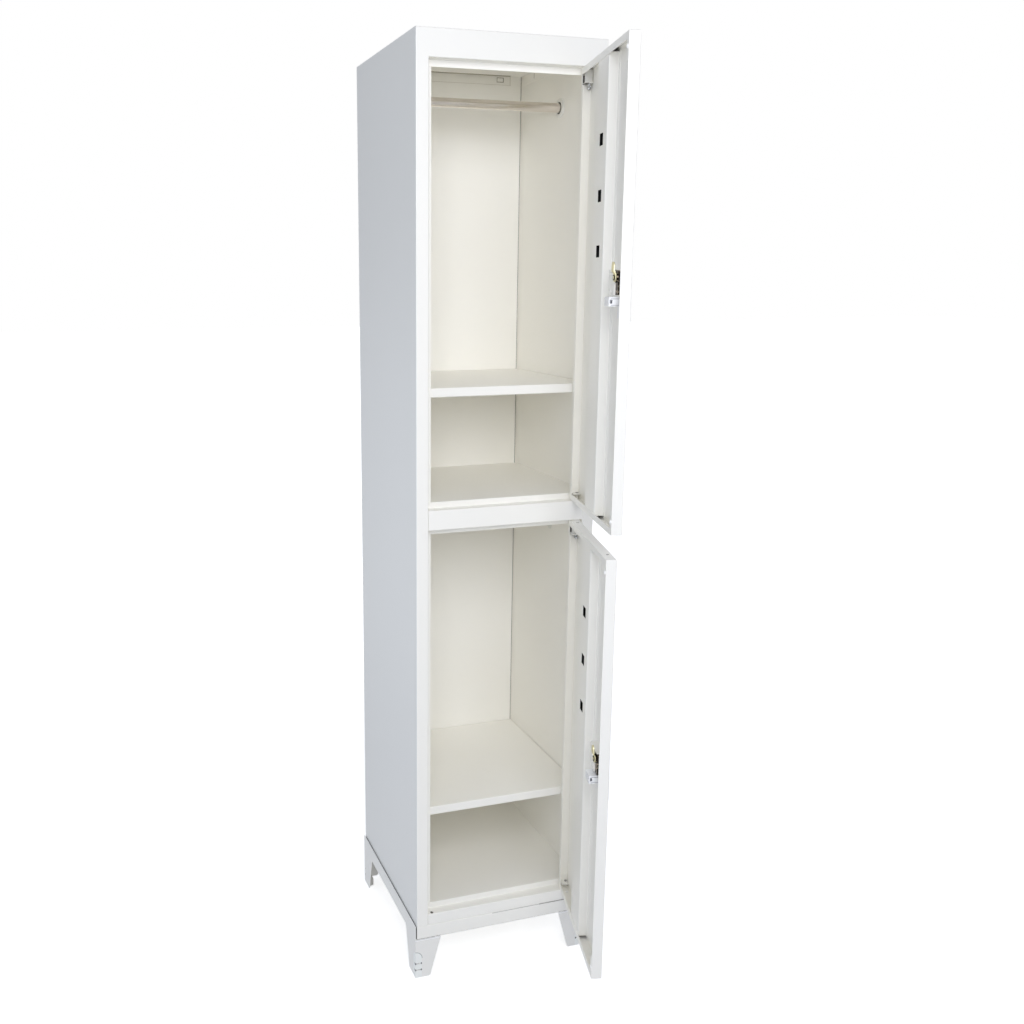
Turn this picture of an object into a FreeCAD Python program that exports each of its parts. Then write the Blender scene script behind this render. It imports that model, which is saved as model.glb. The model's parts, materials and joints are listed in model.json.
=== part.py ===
import FreeCAD, Part
import math
import os
from FreeCAD import Vector

os.makedirs("parts", exist_ok=True)

# Two-door steel locker cabinet, in millimetres.
# +Z is up, the fronts face -Y, and the origin is the middle of the footprint on the floor.

# Overall sizes
width = 380.0
depth = 400.0
height = 1890.0
base_height = 90.0

# Sheet metal
body_sheet = 1.0
door_sheet = 1.0
leg_sheet = 1.5
inner_bend = 1.0
seam = 0.2

# Front frame: stiles, rails, and the recess that the doors close into
stile_width = 25.0
top_rail_height = 50.0
mid_rail_height = 40.0
bottom_rail_height = 25.0
plinth_height = 30.0
plinth_return = 20.0
recess_depth = 23.0
stop_width = 12.0

# Panel flanges and inside joints
back_flange = 15.0
back_panel_gap = 1.5
floor_flange = 12.0
top_flange = 20.0
top_flange_cut = 28.0
side_flange = 22.0
tab_width = 18.0
tab_height = 11.0
tab_inset = 42.0
tab_proud = 0.5

# Legs, joined at each side by a strip that stands off the side panel
strip_gap = 2.0
strip_height = 32.5
strip_flange = 25.0
leg_side_top = 66.0
leg_side_foot = 42.0
leg_front_top = 57.0
leg_front_foot = 33.0
leg_top_gap = 1.0
foot_corner = 6.0
leg_knee = 8.0
leg_lift = 1.0
rear_plate_lift = 8.0
leg_slit_height = 2.5
leg_slit_low = 18.0
leg_slit_high = 33.0
leg_slit_front = 12.0
leg_slit_side = 10.0
lug_margin = 3.0
lug_clearance = 0.3

# Foot glides
glide_across = 14.0
glide_along = 28.0
glide_height = 17.0
glide_corner = 7.0
glide_rim = 3.0
glide_post = 8.0
glide_post_height = 42.0

# Leg bolts
bolt_radius = 3.0
bolt_head_radius = 5.5
bolt_head_height = 3.5
bolt_clearance = 0.3
nut_across_flats = 10.0
nut_height = 5.0
bolt_rows = 3
bolt_end_inset = 16.0

# Shelves and their clips
shelf_gap = 1.5
shelf_setback = 2.0
shelf_lip = 18.0
shelf_side_lip = 15.0
shelf_return = 10.0
upper_shelf_top = 1247.0
lower_shelf_top = 375.0
clip_sheet = 1.2
clip_length = 20.0
clip_reach = 10.0
clip_height = 13.0
clip_inset = 60.0

# Hanging rod
rod_radius = 9.5
rod_drop = 94.0
rod_end_gap = 0.3
socket_flange_radius = 20.0
socket_flange_thick = 2.5
socket_wall = 2.5
socket_length = 8.0
plug_radius = 12.0
plug_thick = 2.0

# Doors
door_thickness = 20.0
door_gap = 1.5
hinge_gap = 2.0
hinge_lip = 17.0
end_lip = 12.0
hem_length = 8.0
corner_tab_width = 12.0
corner_tab_height = 45.0
upper_open_angle = 76.45
lower_open_angle = 75.25
pivot_inset = 8.0
pivot_setback = 6.5
paint_hole_radius = 2.5
paint_hole_inset = 30.0
paint_hole_setback = 8.0

# Pivot pins, their brackets and bushes
pin_radius = 3.0
pin_clearance = 0.05
pin_engagement = 6.0
bush_radius = 4.5
bush_fit = 0.05
bush_length = 7.5
bush_flange_radius = 5.5
bush_flange_thick = 1.2
bracket_sheet = 1.5
bracket_drop = 27.0
bracket_rise = 12.0
bracket_reach = 21.0
bracket_leaf = 16.0
lip_notch_edge = 8.0
lip_notch_drop = 31.5
pin_collar_radius = 5.0
pin_collar_height = 2.0
handle_radius = 2.0
handle_length = 14.0
handle_drop = 6.0
pin_tail = 4.0

# Door stiffener, a hat section over the middle of the door
stiffener_web = 74.0
stiffener_brim = 10.0
stiffener_rise = 18.0
stiffener_end_gap = 8.0
vent_width = 25.0
vent_height = 21.0
vent_first = 146.5
vent_pitch = 96.0
vent_count = 3

# Recessed pull, moulded, with a deep box that the fingertips hook into
pull_centre_height = 390.0
pull_edge_inset = 20.5
pull_bezel_width = 46.0
pull_bezel_height = 60.0
pull_bezel_thick = 3.0
pull_bezel_corner = 6.0
pull_body_width = 28.0
pull_body_height = 36.0
pull_wall = 1.8
pull_scoop_depth = 8.0
pull_box_height = 15.5
pull_box_depth = 33.0
pull_fit = 0.3
pull_window = 5.0
pull_window_width = 2.5
pull_window_inset = 2.8
pull_screw_drop = 11.0
small_screw_radius = 1.5
small_head_radius = 3.0
small_head_height = 1.5
small_screw_clearance = 0.1
small_screw_grip = 2.0

# Cam lock
lock_edge_inset = 26.5
lock_body_width = 46.0
lock_body_height = 41.0
lock_body_depth = 18.0
lock_body_overlap = 10.0
lock_body_above = 12.0
lock_gap = 3.0
lock_boss_radius = 8.5
lock_boss_length = 2.0
lock_neck_radius = 8.0
lock_neck_fit = 0.2
lock_cover_sheet = 1.5
lock_cover_overhang = 10.0
lock_cover_width = 41.0
lock_cover_clearance = 0.5
cover_screw_inset = 7.0
ring_radius = 13.0
ring_thick = 2.5
plug_face_radius = 6.0
plug_fit = 0.05
plug_stem_radius = 3.0
plug_stem_proud = 0.3
plug_proud = 0.3
key_slot_width = 1.4
key_slot_length = 8.0
key_slot_depth = 6.0
cam_thick = 2.2
cam_width = 15.0
cam_length = 26.0
cam_crank = 3.2
cam_knee_low = 6.0
cam_knee_high = 10.0
cam_nut_height = 1.5
cam_nut_flats = 9.0

# Door bumpers
bumper_radius = 3.5
bumper_height = 2.7
bumper_edge_inset = 5.0
bumper_end_inset = 24.0

# Places worked out from the sizes above
left = -width / 2
right = width / 2
front = -depth / 2
back = depth / 2
inner_right = right - body_sheet
opening_left = left + stile_width
opening_right = right - stile_width
stop_face = front + recess_depth
stop_back = stop_face + body_sheet
back_inner = back - 2 * body_sheet
plinth_top = base_height + plinth_height
lower_open_low = plinth_top + bottom_rail_height
upper_open_high = height - top_rail_height
opening_height = (upper_open_high - lower_open_low - mid_rail_height) / 2
lower_open_high = lower_open_low + opening_height
upper_open_low = lower_open_high + mid_rail_height
bottom_floor = lower_open_low + stop_width
mid_floor = upper_open_low + stop_width
door_width = opening_right - opening_left - door_gap - hinge_gap
door_height = opening_height - 2 * door_gap
hinge_edge = opening_right - hinge_gap
pivot_x = hinge_edge - pivot_inset
pivot_y = front + pivot_setback
strip_outer = left - strip_gap - leg_sheet
strip_inner = left - strip_gap
strip_low = base_height - leg_sheet
strip_high = strip_low + strip_height
flange_reach = depth / 2 - leg_side_top - leg_knee
bolt_pitch = 2 * (flange_reach - bolt_end_inset) / (bolt_rows - 1)
lock_height = pull_centre_height + pull_body_height / 2 + lock_gap + lock_body_height - lock_body_above

along_x = Vector(1, 0, 0)
along_y = Vector(0, 1, 0)
along_z = Vector(0, 0, 1)


def block(x_range, y_range, z_range):
    """A rectangular block between two places on each axis."""
    low = Vector(x_range[0], y_range[0], z_range[0])
    high = Vector(x_range[1], y_range[1], z_range[1])
    size = high - low
    return Part.makeBox(size.x, size.y, size.z, low)


def rod(radius, start, end):
    """A round bar between two points."""
    run = end - start
    return Part.makeCylinder(radius, run.Length, start, run)


def joined(first, *others):
    """Solids fused into one, with the seams between flush faces cleaned away."""
    return first.fuse(list(others)).removeSplitter()


def group(shapes):
    """Separate solids kept together in one node."""
    return Part.makeCompound(shapes)


def mirrored(shape):
    """The same shape on the other side of the cabinet."""
    return shape.mirror(Vector(0, 0, 0), along_x)


def prism(points, direction):
    """A polygon pushed along a direction."""
    return Part.Face(Part.makePolygon(points + points[:1])).extrude(direction)


def rounded_run(points, radii):
    """Edges through the points, each inner corner rounded with its own radius."""
    edges = []
    start = points[0]
    for before, corner, after, radius in zip(points, points[1:], points[2:], radii):
        incoming = (corner - before).normalize()
        outgoing = (after - corner).normalize()
        half_turn = incoming.getAngle(outgoing) / 2
        trim = radius * math.tan(half_turn)
        arc_start = corner - incoming * trim
        arc_end = corner + outgoing * trim
        inward = (outgoing - incoming).normalize()
        arc_middle = corner + inward * (radius / math.cos(half_turn) - radius)
        edges.append(Part.makeLine(start, arc_start))
        edges.append(Part.Arc(arc_start, arc_middle, arc_end).toShape())
        start = arc_end
    edges.append(Part.makeLine(start, points[-1]))
    return edges


def folded_sheet(points, thickness, normal, length):
    """A folded sheet: its visible skin runs through the points, and its metal lies to their left."""
    steps = [(b - a).normalize() for a, b in zip(points, points[1:])]
    lefts = [normal.cross(step) for step in steps]
    offset = [points[0] + lefts[0] * thickness]
    skin_radii = []
    offset_radii = []
    for corner, before, after, step in zip(points[1:], lefts, lefts[1:], steps):
        share = (before + after) * (thickness / (1 + before.dot(after)))
        offset.append(corner + share)
        turns_left = after.dot(step) < 0
        skin_radii.append(inner_bend + thickness if turns_left else inner_bend)
        offset_radii.append(inner_bend if turns_left else inner_bend + thickness)
    offset.append(points[-1] + lefts[-1] * thickness)
    outline = rounded_run(points, skin_radii)
    outline.append(Part.makeLine(points[-1], offset[-1]))
    outline += rounded_run(offset[::-1], offset_radii[::-1])
    outline.append(Part.makeLine(offset[0], points[0]))
    face = Part.Face(Part.Wire(Part.__sortEdges__(outline)))
    return face.extrude(normal * length)


def side_section(places, half_span):
    """Folded sheet seen from the side, running across the cabinet between -half_span and half_span."""
    points = [Vector(-half_span, y, z) for y, z in places]
    return folded_sheet(points, body_sheet, along_x, 2 * half_span)


def hexagon(across_flats, hole_radius, start, direction, length):
    """A hexagonal nut."""
    corner_radius = across_flats / math.sqrt(3)
    if abs(direction.z) > 0.5:
        first, second = along_x, along_y
    else:
        first, second = along_x, along_z
    corners = []
    for step in range(6):
        turn = math.radians(60 * step)
        reach = first * math.cos(turn) + second * math.sin(turn)
        corners.append(start + reach * corner_radius)
    nut = prism(corners, direction * length)
    return nut.cut(rod(hole_radius, start, start + direction * length))


def save(name, shape):
    """Write one node after checking that it is sound."""
    if not shape.isValid() or shape.Volume <= 0:
        raise ValueError(name + " is not a sound solid")
    shape.exportStep("parts/" + name + ".step")


# Carcass ---------------------------------------------------------------------------------------


def left_side_panel():
    """Side, back flange, stile, recess wall and door stop folded from one sheet."""
    places = [
        Vector(left + back_flange, back, base_height),
        Vector(left, back, base_height),
        Vector(left, front, base_height),
        Vector(opening_left, front, base_height),
        Vector(opening_left, stop_face, base_height),
        Vector(opening_left + stop_width, stop_face, base_height),
    ]
    panel = folded_sheet(places, body_sheet, along_z, height - base_height)
    stop_zone_x = (opening_left, opening_left + stop_width + 1)
    stop_zone_y = (front + recess_depth / 2, stop_back + 1)
    stop_breaks = [
        (base_height, bottom_floor + seam),
        (lower_open_high - stop_width - seam, mid_floor + seam),
        (upper_open_high - stop_width - seam, height),
    ]
    cutters = [block(stop_zone_x, stop_zone_y, span) for span in stop_breaks]
    mitre = [
        Vector(opening_left, front - 1, upper_open_high),
        Vector(left, front - 1, height),
        Vector(opening_left, front - 1, height),
    ]
    cutters.append(prism(mitre, along_y * (1 + body_sheet)))
    fold_zone = inner_bend + body_sheet
    cutters.append(block((left + fold_zone, opening_left + 1), (front + body_sheet, stop_back + 1),
                         (upper_open_high - seam, height)))
    cutters.append(block((left - 1, opening_left + 1), (front - 1, front + fold_zone),
                         (base_height, plinth_top + seam)))
    cutters.append(block((left + body_sheet, opening_left + 1), (front - 1, stop_back + 1),
                         (base_height, plinth_top + seam)))
    for other in cutters:
        panel = panel.cut(other)
    reach = bolt_pitch * (bolt_rows - 1) / 2 + side_flange
    flange = block((left + body_sheet / 2, left + side_flange), (-reach, reach),
                   (base_height, base_height + body_sheet))
    panel = joined(panel, flange)
    for place in bolt_places():
        panel = panel.cut(rod(bolt_radius + bolt_clearance, place, place + along_z * (2 * body_sheet)))
    return panel


def bolt_places():
    """Axes of the bolts that hold the left leg frame, at the height of the joint."""
    across = left + side_flange / 2 + body_sheet
    first = -bolt_pitch * (bolt_rows - 1) / 2
    z = base_height - body_sheet / 2
    return [Vector(across, first + row * bolt_pitch, z) for row in range(bolt_rows)]


def back_panel():
    """Flat back, a little narrower than the space between the sides."""
    half = inner_right - back_panel_gap
    return block((-half, half), (back_inner, back_inner + body_sheet), (plinth_top + body_sheet, height))


def pivot_holes(sheet_low, sheet_high):
    """Round holes for the pivot bushes, at the right and, for doors hung the other way, at the left."""
    cutters = []
    for x in (pivot_x, -pivot_x):
        low = Vector(x, pivot_y, sheet_low - 1)
        high = Vector(x, pivot_y, sheet_high + 1)
        cutters.append(rod(bush_radius + bush_fit, low, high))
    return cutters


def beside_stiles(z_low, z_high):
    """The space of the stiles, which the rails' folded parts stay out of."""
    low = (z_low, z_high)
    y_range = (front - 1, stop_back)
    return [block((left - 1, opening_left), y_range, low), block((opening_right, right + 1), y_range, low)]


def top_panel():
    """Top, top rail, recess and stop folded from one sheet, with inner flanges at the back and sides."""
    places = [
        (stop_face, upper_open_high - stop_width),
        (stop_face, upper_open_high),
        (front, upper_open_high),
        (front, height),
        (back_inner, height),
        (back_inner, height - top_flange),
    ]
    panel = side_section(places[::-1], right)
    fold_zone = inner_bend + body_sheet
    low = upper_open_high - stop_width - 1
    for inner, outer in ((left - 1, opening_left), (opening_right, right + 1)):
        panel = panel.cut(block((inner, outer), (front + body_sheet, stop_back + 1),
                                (low, height - fold_zone)))
    for inner, outer in ((left - 1, -inner_right), (inner_right, right + 1)):
        panel = panel.cut(block((inner, outer), (front + body_sheet, back + 1), (low, height + 1)))
    for side in (-1, 1):
        below_mitre = [
            Vector(side * opening_right, front - 1, upper_open_high - 1),
            Vector(side * opening_right, front - 1, upper_open_high + seam),
            Vector(side * right, front - 1, height),
            Vector(side * (right + 1), front - 1, upper_open_high - 1),
        ]
        panel = panel.cut(prism(below_mitre, along_y * (1 + body_sheet)))
    corner = inner_right - inner_bend - seam
    for inner, outer in ((left - 1, -corner), (corner, right + 1)):
        panel = panel.cut(block((inner, outer), (front + body_sheet, front + fold_zone + seam),
                                (low, height + 1)))
    for inner, outer in ((left, left + top_flange_cut), (right - top_flange_cut, right)):
        panel = panel.cut(block((inner, outer), (back_inner - fold_zone, back),
                                (height - top_flange - 1, height - body_sheet)))
    side_low = height - top_flange
    for x in (-inner_right, inner_right - body_sheet):
        flange = block((x, x + body_sheet), (stop_back + 1, back_inner - top_flange_cut / 2),
                       (side_low, height - body_sheet / 2))
        panel = joined(panel, flange)
    tab_right = right - tab_inset
    tab = block((tab_right - tab_width, tab_right),
                (back_inner - body_sheet - tab_proud, back_inner - body_sheet / 2),
                (height - top_flange + tab_height / 2, height - top_flange + tab_height * 3 / 2))
    panel = joined(panel, tab)
    for cutter in pivot_holes(upper_open_high, upper_open_high + body_sheet):
        panel = panel.cut(cutter)
    return panel


def mid_divider():
    """Floor of the upper bay, with the middle rail, its two recess ledges and two stops."""
    places = [
        (back_inner, mid_floor - floor_flange),
        (back_inner, mid_floor),
        (stop_face, mid_floor),
        (stop_face, upper_open_low),
        (front, upper_open_low),
        (front, lower_open_high),
        (stop_face, lower_open_high),
        (stop_face, lower_open_high - stop_width),
    ]
    panel = side_section(places, inner_right)
    low = lower_open_high - stop_width - 1
    for cutter in beside_stiles(low, mid_floor + 1):
        panel = panel.cut(cutter)
    panel = with_side_flanges(panel, mid_floor)
    for cutter in pivot_holes(lower_open_high, upper_open_low):
        panel = panel.cut(cutter)
    return panel


def bottom_panel():
    """Floor of the lower bay, with the bottom rail, its recess ledge and stop."""
    places = [
        (back_inner, bottom_floor - floor_flange),
        (back_inner, bottom_floor),
        (stop_face, bottom_floor),
        (stop_face, lower_open_low),
        (front, lower_open_low),
        (front, plinth_top + seam),
        (front + plinth_return, plinth_top + seam),
    ]
    panel = side_section(places, inner_right)
    for cutter in beside_stiles(plinth_top - 1, bottom_floor + 1):
        panel = panel.cut(cutter)
    panel = with_side_flanges(panel, bottom_floor)
    for cutter in pivot_holes(lower_open_low - body_sheet, lower_open_low):
        panel = panel.cut(cutter)
    return panel


def with_side_flanges(panel, floor_top):
    """The floor with a turned-down flange along each side."""
    for x in (-inner_right, inner_right - body_sheet):
        flange = block((x, x + body_sheet), (stop_back + 1, back_inner - floor_flange),
                       (floor_top - floor_flange, floor_top - body_sheet / 2))
        panel = joined(panel, flange)
    return panel


def front_plinth_rail():
    """Rail under the bottom rail, flush with the front."""
    places = [
        (front + plinth_return, plinth_top),
        (front, plinth_top),
        (front, base_height),
        (front + plinth_return, base_height),
    ]
    rail = side_section(places, right)
    for inner, outer in ((left - 1, -inner_right + seam), (inner_right - seam, right + 1)):
        rail = rail.cut(block((inner, outer), (front + inner_bend + body_sheet, front + plinth_return + 1),
                              (base_height - 1, plinth_top + 1)))
    return rail


def rear_plinth_rail():
    """Rail under the back panel, between the sides."""
    rear = back_inner + body_sheet
    places = [
        (rear - plinth_return, base_height),
        (rear, base_height),
        (rear, plinth_top),
        (rear - plinth_return, plinth_top),
    ]
    return side_section(places, inner_right - inner_bend - seam)


# Legs ------------------------------------------------------------------------------------------


def rounded_outline(places, radii):
    """A closed outline with each corner rounded by its own radius, as a face."""
    middle = (places[-1] + places[0]) * 0.5
    edges = rounded_run([middle] + places + [middle], radii)
    return Part.Face(Part.Wire(Part.__sortEdges__(edges)))


def left_leg_frame():
    """Strip, two legs and the bolting flange folded from one sheet."""
    half = depth / 2
    sharp = 0.5
    places = [
        Vector(strip_outer, -half, strip_high),
        Vector(strip_outer, half, strip_high),
        Vector(strip_outer, half, leg_lift),
        Vector(strip_outer, half - leg_side_foot, leg_lift),
        Vector(strip_outer, half - leg_side_top, strip_low),
        Vector(strip_outer, leg_side_top - half, strip_low),
        Vector(strip_outer, leg_side_foot - half, leg_lift),
        Vector(strip_outer, -half, leg_lift),
    ]
    radii = [sharp, sharp, sharp, foot_corner, leg_knee, leg_knee, foot_corner, sharp]
    frame = rounded_outline(places, radii).extrude(along_x * leg_sheet)
    leg_top = base_height - leg_top_gap
    plate = [
        Vector(strip_outer, front, leg_top),
        Vector(strip_outer + leg_front_top, front, leg_top),
        Vector(strip_outer + leg_front_foot, front, leg_lift),
        Vector(strip_outer, front, leg_lift),
    ]
    plate_radii = [sharp, sharp, foot_corner, sharp]
    front_plate = rounded_outline(plate, plate_radii).extrude(along_y * leg_sheet)
    short_by = along_z * (rear_plate_lift - leg_lift)
    short_plate = plate[:2] + [plate[2] + short_by, plate[3] + short_by]
    rear_plate = rounded_outline(short_plate, plate_radii).extrude(along_y * leg_sheet)
    rear_plate = rear_plate.mirror(Vector(0, 0, 0), along_y)
    flange = block((strip_outer, strip_inner + strip_flange), (-flange_reach, flange_reach),
                   (strip_low, base_height))
    frame = joined(frame, front_plate, rear_plate, flange)
    for slit_low in (leg_slit_low, leg_slit_high):
        slit_high = slit_low + leg_slit_height
        front_slit = block((strip_outer - 1, strip_outer + leg_slit_front),
                           (front - 1, front + leg_slit_side), (slit_low, slit_high))
        frame = frame.cut(front_slit)
        frame = frame.cut(front_slit.mirror(Vector(0, 0, 0), along_y))
    for place in bolt_places():
        below = place - along_z * (2 * leg_sheet)
        frame = frame.cut(rod(bolt_radius + bolt_clearance, below, place + along_z))
    return frame


def foot_glides():
    """Moulded feet in the corners of the legs, held by lugs in the legs' slits."""
    inner_front = front + leg_sheet
    pad = block((strip_inner, strip_inner + glide_across), (inner_front, inner_front + glide_along),
                (0, glide_height))
    free_edges = [e for e in pad.Edges
                  if e.BoundBox.XMin > strip_inner + 1 and e.BoundBox.YMin > inner_front + 1]
    pad = pad.makeFillet(glide_corner, free_edges)
    rim = [e for e in pad.Edges
           if e.BoundBox.ZMin > glide_height - 1
           and e.BoundBox.XMax > strip_inner + 1 and e.BoundBox.YMax > inner_front + 1]
    pad = pad.makeFillet(glide_rim, rim)
    post = block((strip_inner, strip_inner + glide_post), (inner_front, inner_front + glide_post),
                 (glide_height / 2, glide_post_height))
    glide = joined(pad, post)
    for slit_low in (leg_slit_low, leg_slit_high):
        lug = block((strip_outer, strip_outer + leg_slit_front - lug_margin),
                    (front, front + leg_slit_side - lug_margin),
                    (slit_low + lug_clearance, slit_low + leg_slit_height - lug_clearance))
        glide = joined(glide, lug)
    rear = glide.mirror(Vector(0, 0, 0), along_y)
    return group([glide, rear, mirrored(glide), mirrored(rear)])


def leg_bolts():
    """Bolts up through the leg frames' flanges and the side panels' flanges."""
    bolts = []
    for place in bolt_places():
        seat = Vector(place.x, place.y, strip_low)
        head = rod(bolt_head_radius, seat - along_z * bolt_head_height, seat)
        shank = rod(bolt_radius, seat - along_z, seat + along_z * (leg_sheet + body_sheet + nut_height + 1))
        bolt = joined(head, shank)
        bolts += [bolt, mirrored(bolt)]
    return group(bolts)


def leg_nuts():
    """Nuts on top of the side panels' flanges."""
    nuts = []
    for place in bolt_places():
        seat = Vector(place.x, place.y, base_height + body_sheet)
        nut = hexagon(nut_across_flats, bolt_radius + small_screw_clearance, seat, along_z, nut_height)
        nuts += [nut, mirrored(nut)]
    return group(nuts)


# Shelves and rod -------------------------------------------------------------------------------


def shelf(top):
    """A loose shelf with lips turned down all round."""
    half = inner_right - shelf_gap
    shelf_front = stop_back + shelf_setback
    shelf_back = back_inner - shelf_gap
    places = [
        (shelf_back, top - shelf_side_lip),
        (shelf_back, top),
        (shelf_front, top),
        (shelf_front, top - shelf_lip),
        (shelf_front + shelf_return, top - shelf_lip),
    ]
    tray = side_section(places, half)
    for x in (-half, half - body_sheet):
        lip = block((x, x + body_sheet),
                    (shelf_front + shelf_return + 1, shelf_back - inner_bend - body_sheet),
                    (top - shelf_side_lip, top - body_sheet / 2))
        tray = joined(tray, lip)
    return tray


def shelf_clips(top):
    """Angle clips on the side panels, under the shelf's side lips."""
    seat = top - shelf_side_lip
    clips = []
    for y in (front + clip_inset, back - clip_inset - clip_length):
        span = (y, y + clip_length)
        leaf = block((-inner_right, -inner_right + clip_sheet), span, (seat - clip_sheet, seat + clip_height))
        ledge = block((-inner_right, -inner_right + clip_reach), span, (seat - clip_sheet, seat))
        clip = joined(leaf, ledge)
        clips += [clip, mirrored(clip)]
    return group(clips)


def hanging_rod():
    """Round rod across the upper bay."""
    reach = inner_right - socket_flange_thick - rod_end_gap
    z = height - rod_drop
    return rod(rod_radius, Vector(-reach, 0, z), Vector(reach, 0, z))


def rod_sockets():
    """Flanged cups on the side panels that carry the rod's ends."""
    z = height - rod_drop
    wall = Vector(-inner_right, 0, z)
    flange = rod(socket_flange_radius, wall, wall + along_x * socket_flange_thick)
    collar = rod(rod_radius + socket_wall, wall, wall + along_x * (socket_flange_thick + socket_length))
    hollow = rod(rod_radius, wall + along_x * socket_flange_thick,
                 wall + along_x * (socket_flange_thick + socket_length + 1))
    socket = joined(flange, collar).cut(hollow)
    return group([socket, mirrored(socket)])


def rod_plugs():
    """Round covers where a second rod could go in the lower bay."""
    z = mid_floor - body_sheet - (rod_drop + socket_flange_radius / 2)
    wall = Vector(-inner_right, 0, z)
    plug = rod(plug_radius, wall, wall + along_x * plug_thick)
    rim = [e for e in plug.Edges if e.BoundBox.XMin > -inner_right + plug_thick / 2]
    plug = plug.makeFillet(plug_thick / 2, rim)
    return group([plug, mirrored(plug)])


def pivot_bushes():
    """Sleeves in the recess ledges that the doors' pivot pins turn in."""
    ledges = [
        (upper_open_high, along_z),
        (lower_open_high, along_z),
        (upper_open_low, -along_z),
        (lower_open_low, -along_z),
    ]
    bushes = []
    for z, inward in ledges:
        face = Vector(pivot_x, pivot_y, z)
        sleeve = rod(bush_radius, face, face + inward * bush_length)
        flange = rod(bush_flange_radius, face - inward * bush_flange_thick, face)
        hole = pin_hole(face - inward * (bush_flange_thick + 1), face + inward * (bush_length + 1))
        bushes.append(joined(sleeve, flange).cut(hole))
    return group(bushes)


def pin_hole(start, end):
    """A running hole for a pivot pin."""
    return rod(pin_radius + pin_clearance, start, end)


# Doors: built closed, then swung open about the pivot ------------------------------------------


class Door:
    """Places on a closed door: u from the hinge edge, v inward from the outer face, w up from the bottom."""

    def __init__(self, name, low, angle):
        self.name = name
        self.low = low
        self.angle = angle

    def point(self, u, v, w):
        return Vector(hinge_edge - u, front + v, self.low + w)

    def block(self, u_range, v_range, w_range):
        return block((hinge_edge - u_range[1], hinge_edge - u_range[0]),
                     (front + v_range[0], front + v_range[1]),
                     (self.low + w_range[0], self.low + w_range[1]))

    def bar(self, radius, u, v_range, w):
        return rod(radius, self.point(u, v_range[0], w), self.point(u, v_range[1], w))

    def opened(self, shape):
        swung = shape.copy()
        swung.rotate(Vector(pivot_x, pivot_y, 0), along_z, self.angle)
        return swung


def pan_block(door, margin, v_end, corner):
    """The door's outside or inside volume, with its front edges and corners rounded."""
    volume = door.block((margin, door_width - margin), (margin, v_end), (margin, door_height - margin))
    front_place = front + margin
    edges = [e for e in volume.Edges if not (e.BoundBox.YMin > front_place + 1)]
    return volume.makeFillet(corner, edges)


def door_pan(door):
    """Outer face and walls pressed from one sheet, with inward lips on three sides."""
    outside = pan_block(door, 0, door_thickness, inner_bend + door_sheet)
    inside = pan_block(door, door_sheet, door_thickness + 5, inner_bend)
    pan = outside.cut(inside)
    lip_depth = (door_thickness - door_sheet, door_thickness)
    lips = [
        door.block((0, hinge_lip), lip_depth, (0, door_height)),
        door.block((0, door_width), lip_depth, (0, end_lip)),
        door.block((0, door_width), lip_depth, (door_height - end_lip, door_height)),
        door.block((door_width - 2 * door_sheet, door_width - door_sheet / 2),
                   (door_thickness - hem_length, door_thickness), (0, door_height)),
        door.block((door_width - corner_tab_width, door_width), lip_depth, (0, corner_tab_height)),
        door.block((door_width - corner_tab_width, door_width), lip_depth,
                   (door_height - corner_tab_height, door_height)),
    ]
    pan = joined(pan, *[outside.common(lip) for lip in lips])
    notch_depth = (door_thickness - 2 * door_sheet, door_thickness + 1)
    cutters = [
        door.block((lip_notch_edge, hinge_lip + 1), notch_depth,
                   (door_height - lip_notch_drop, door_height - end_lip)),
    ]
    for low, high in ((-1, 2 * door_sheet), (door_height - 2 * door_sheet, door_height + 1)):
        cutters.append(pin_hole(door.point(pivot_inset, pivot_setback, low),
                                door.point(pivot_inset, pivot_setback, high)))
        for u in (paint_hole_inset, door_width - paint_hole_inset):
            cutters.append(rod(paint_hole_radius, door.point(u, paint_hole_setback, low),
                               door.point(u, paint_hole_setback, high)))
    through = (-1, 2 * door_sheet)
    u_low, u_high = pull_span(pull_body_width + 2 * pull_fit)
    w_low, w_high = pull_rise(pull_body_height + 2 * pull_fit)
    cutters.append(door.block((u_low, u_high), through, (w_low, w_high)))
    cutters.append(door.bar(lock_neck_radius + lock_neck_fit, lock_u(), through, lock_height))
    for u in pull_screw_places():
        cutters.append(door.bar(small_screw_radius + small_screw_clearance, u, through, pull_screw_height()))
    for cutter in cutters:
        pan = pan.cut(cutter)
    return pan


def stiffener(door):
    """Hat section over the middle of the door, with three vents in its web."""
    middle = door_width / 2
    half_web = stiffener_web / 2
    base = 2 * door_sheet
    top = door_sheet + stiffener_rise
    low = stiffener_end_gap
    length = door_height - 2 * low
    reach = half_web + stiffener_brim
    places = [
        (-reach, base),
        (-half_web, base),
        (-half_web, top),
        (half_web, top),
        (half_web, base),
        (reach, base),
    ]
    points = [door.point(middle + u, v, low) for u, v in places]
    hat = folded_sheet(points, door_sheet, along_z, length)
    for row in range(vent_count):
        w = door_height - vent_first - row * vent_pitch
        hat = hat.cut(door.block((middle - vent_width / 2, middle + vent_width / 2), (base, top + 1),
                                 (w - vent_height / 2, w + vent_height / 2)))
    return hat


def pivot_bracket(door, low, leaf_low):
    """Angle welded to the hinge wall, with a hole for the pivot pin."""
    depth_range = (2 * door_sheet, door_sheet + bracket_leaf)
    shelf_leaf = door.block((door_sheet, door_sheet + bracket_reach), depth_range, (low, low + bracket_sheet))
    wall_leaf = door.block((door_sheet, door_sheet + bracket_sheet), depth_range,
                           (leaf_low, leaf_low + bracket_leaf))
    hole = pin_hole(door.point(pivot_inset, pivot_setback, low - 1),
                    door.point(pivot_inset, pivot_setback, low + bracket_sheet + 1))
    return joined(shelf_leaf, wall_leaf).cut(hole)


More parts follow.
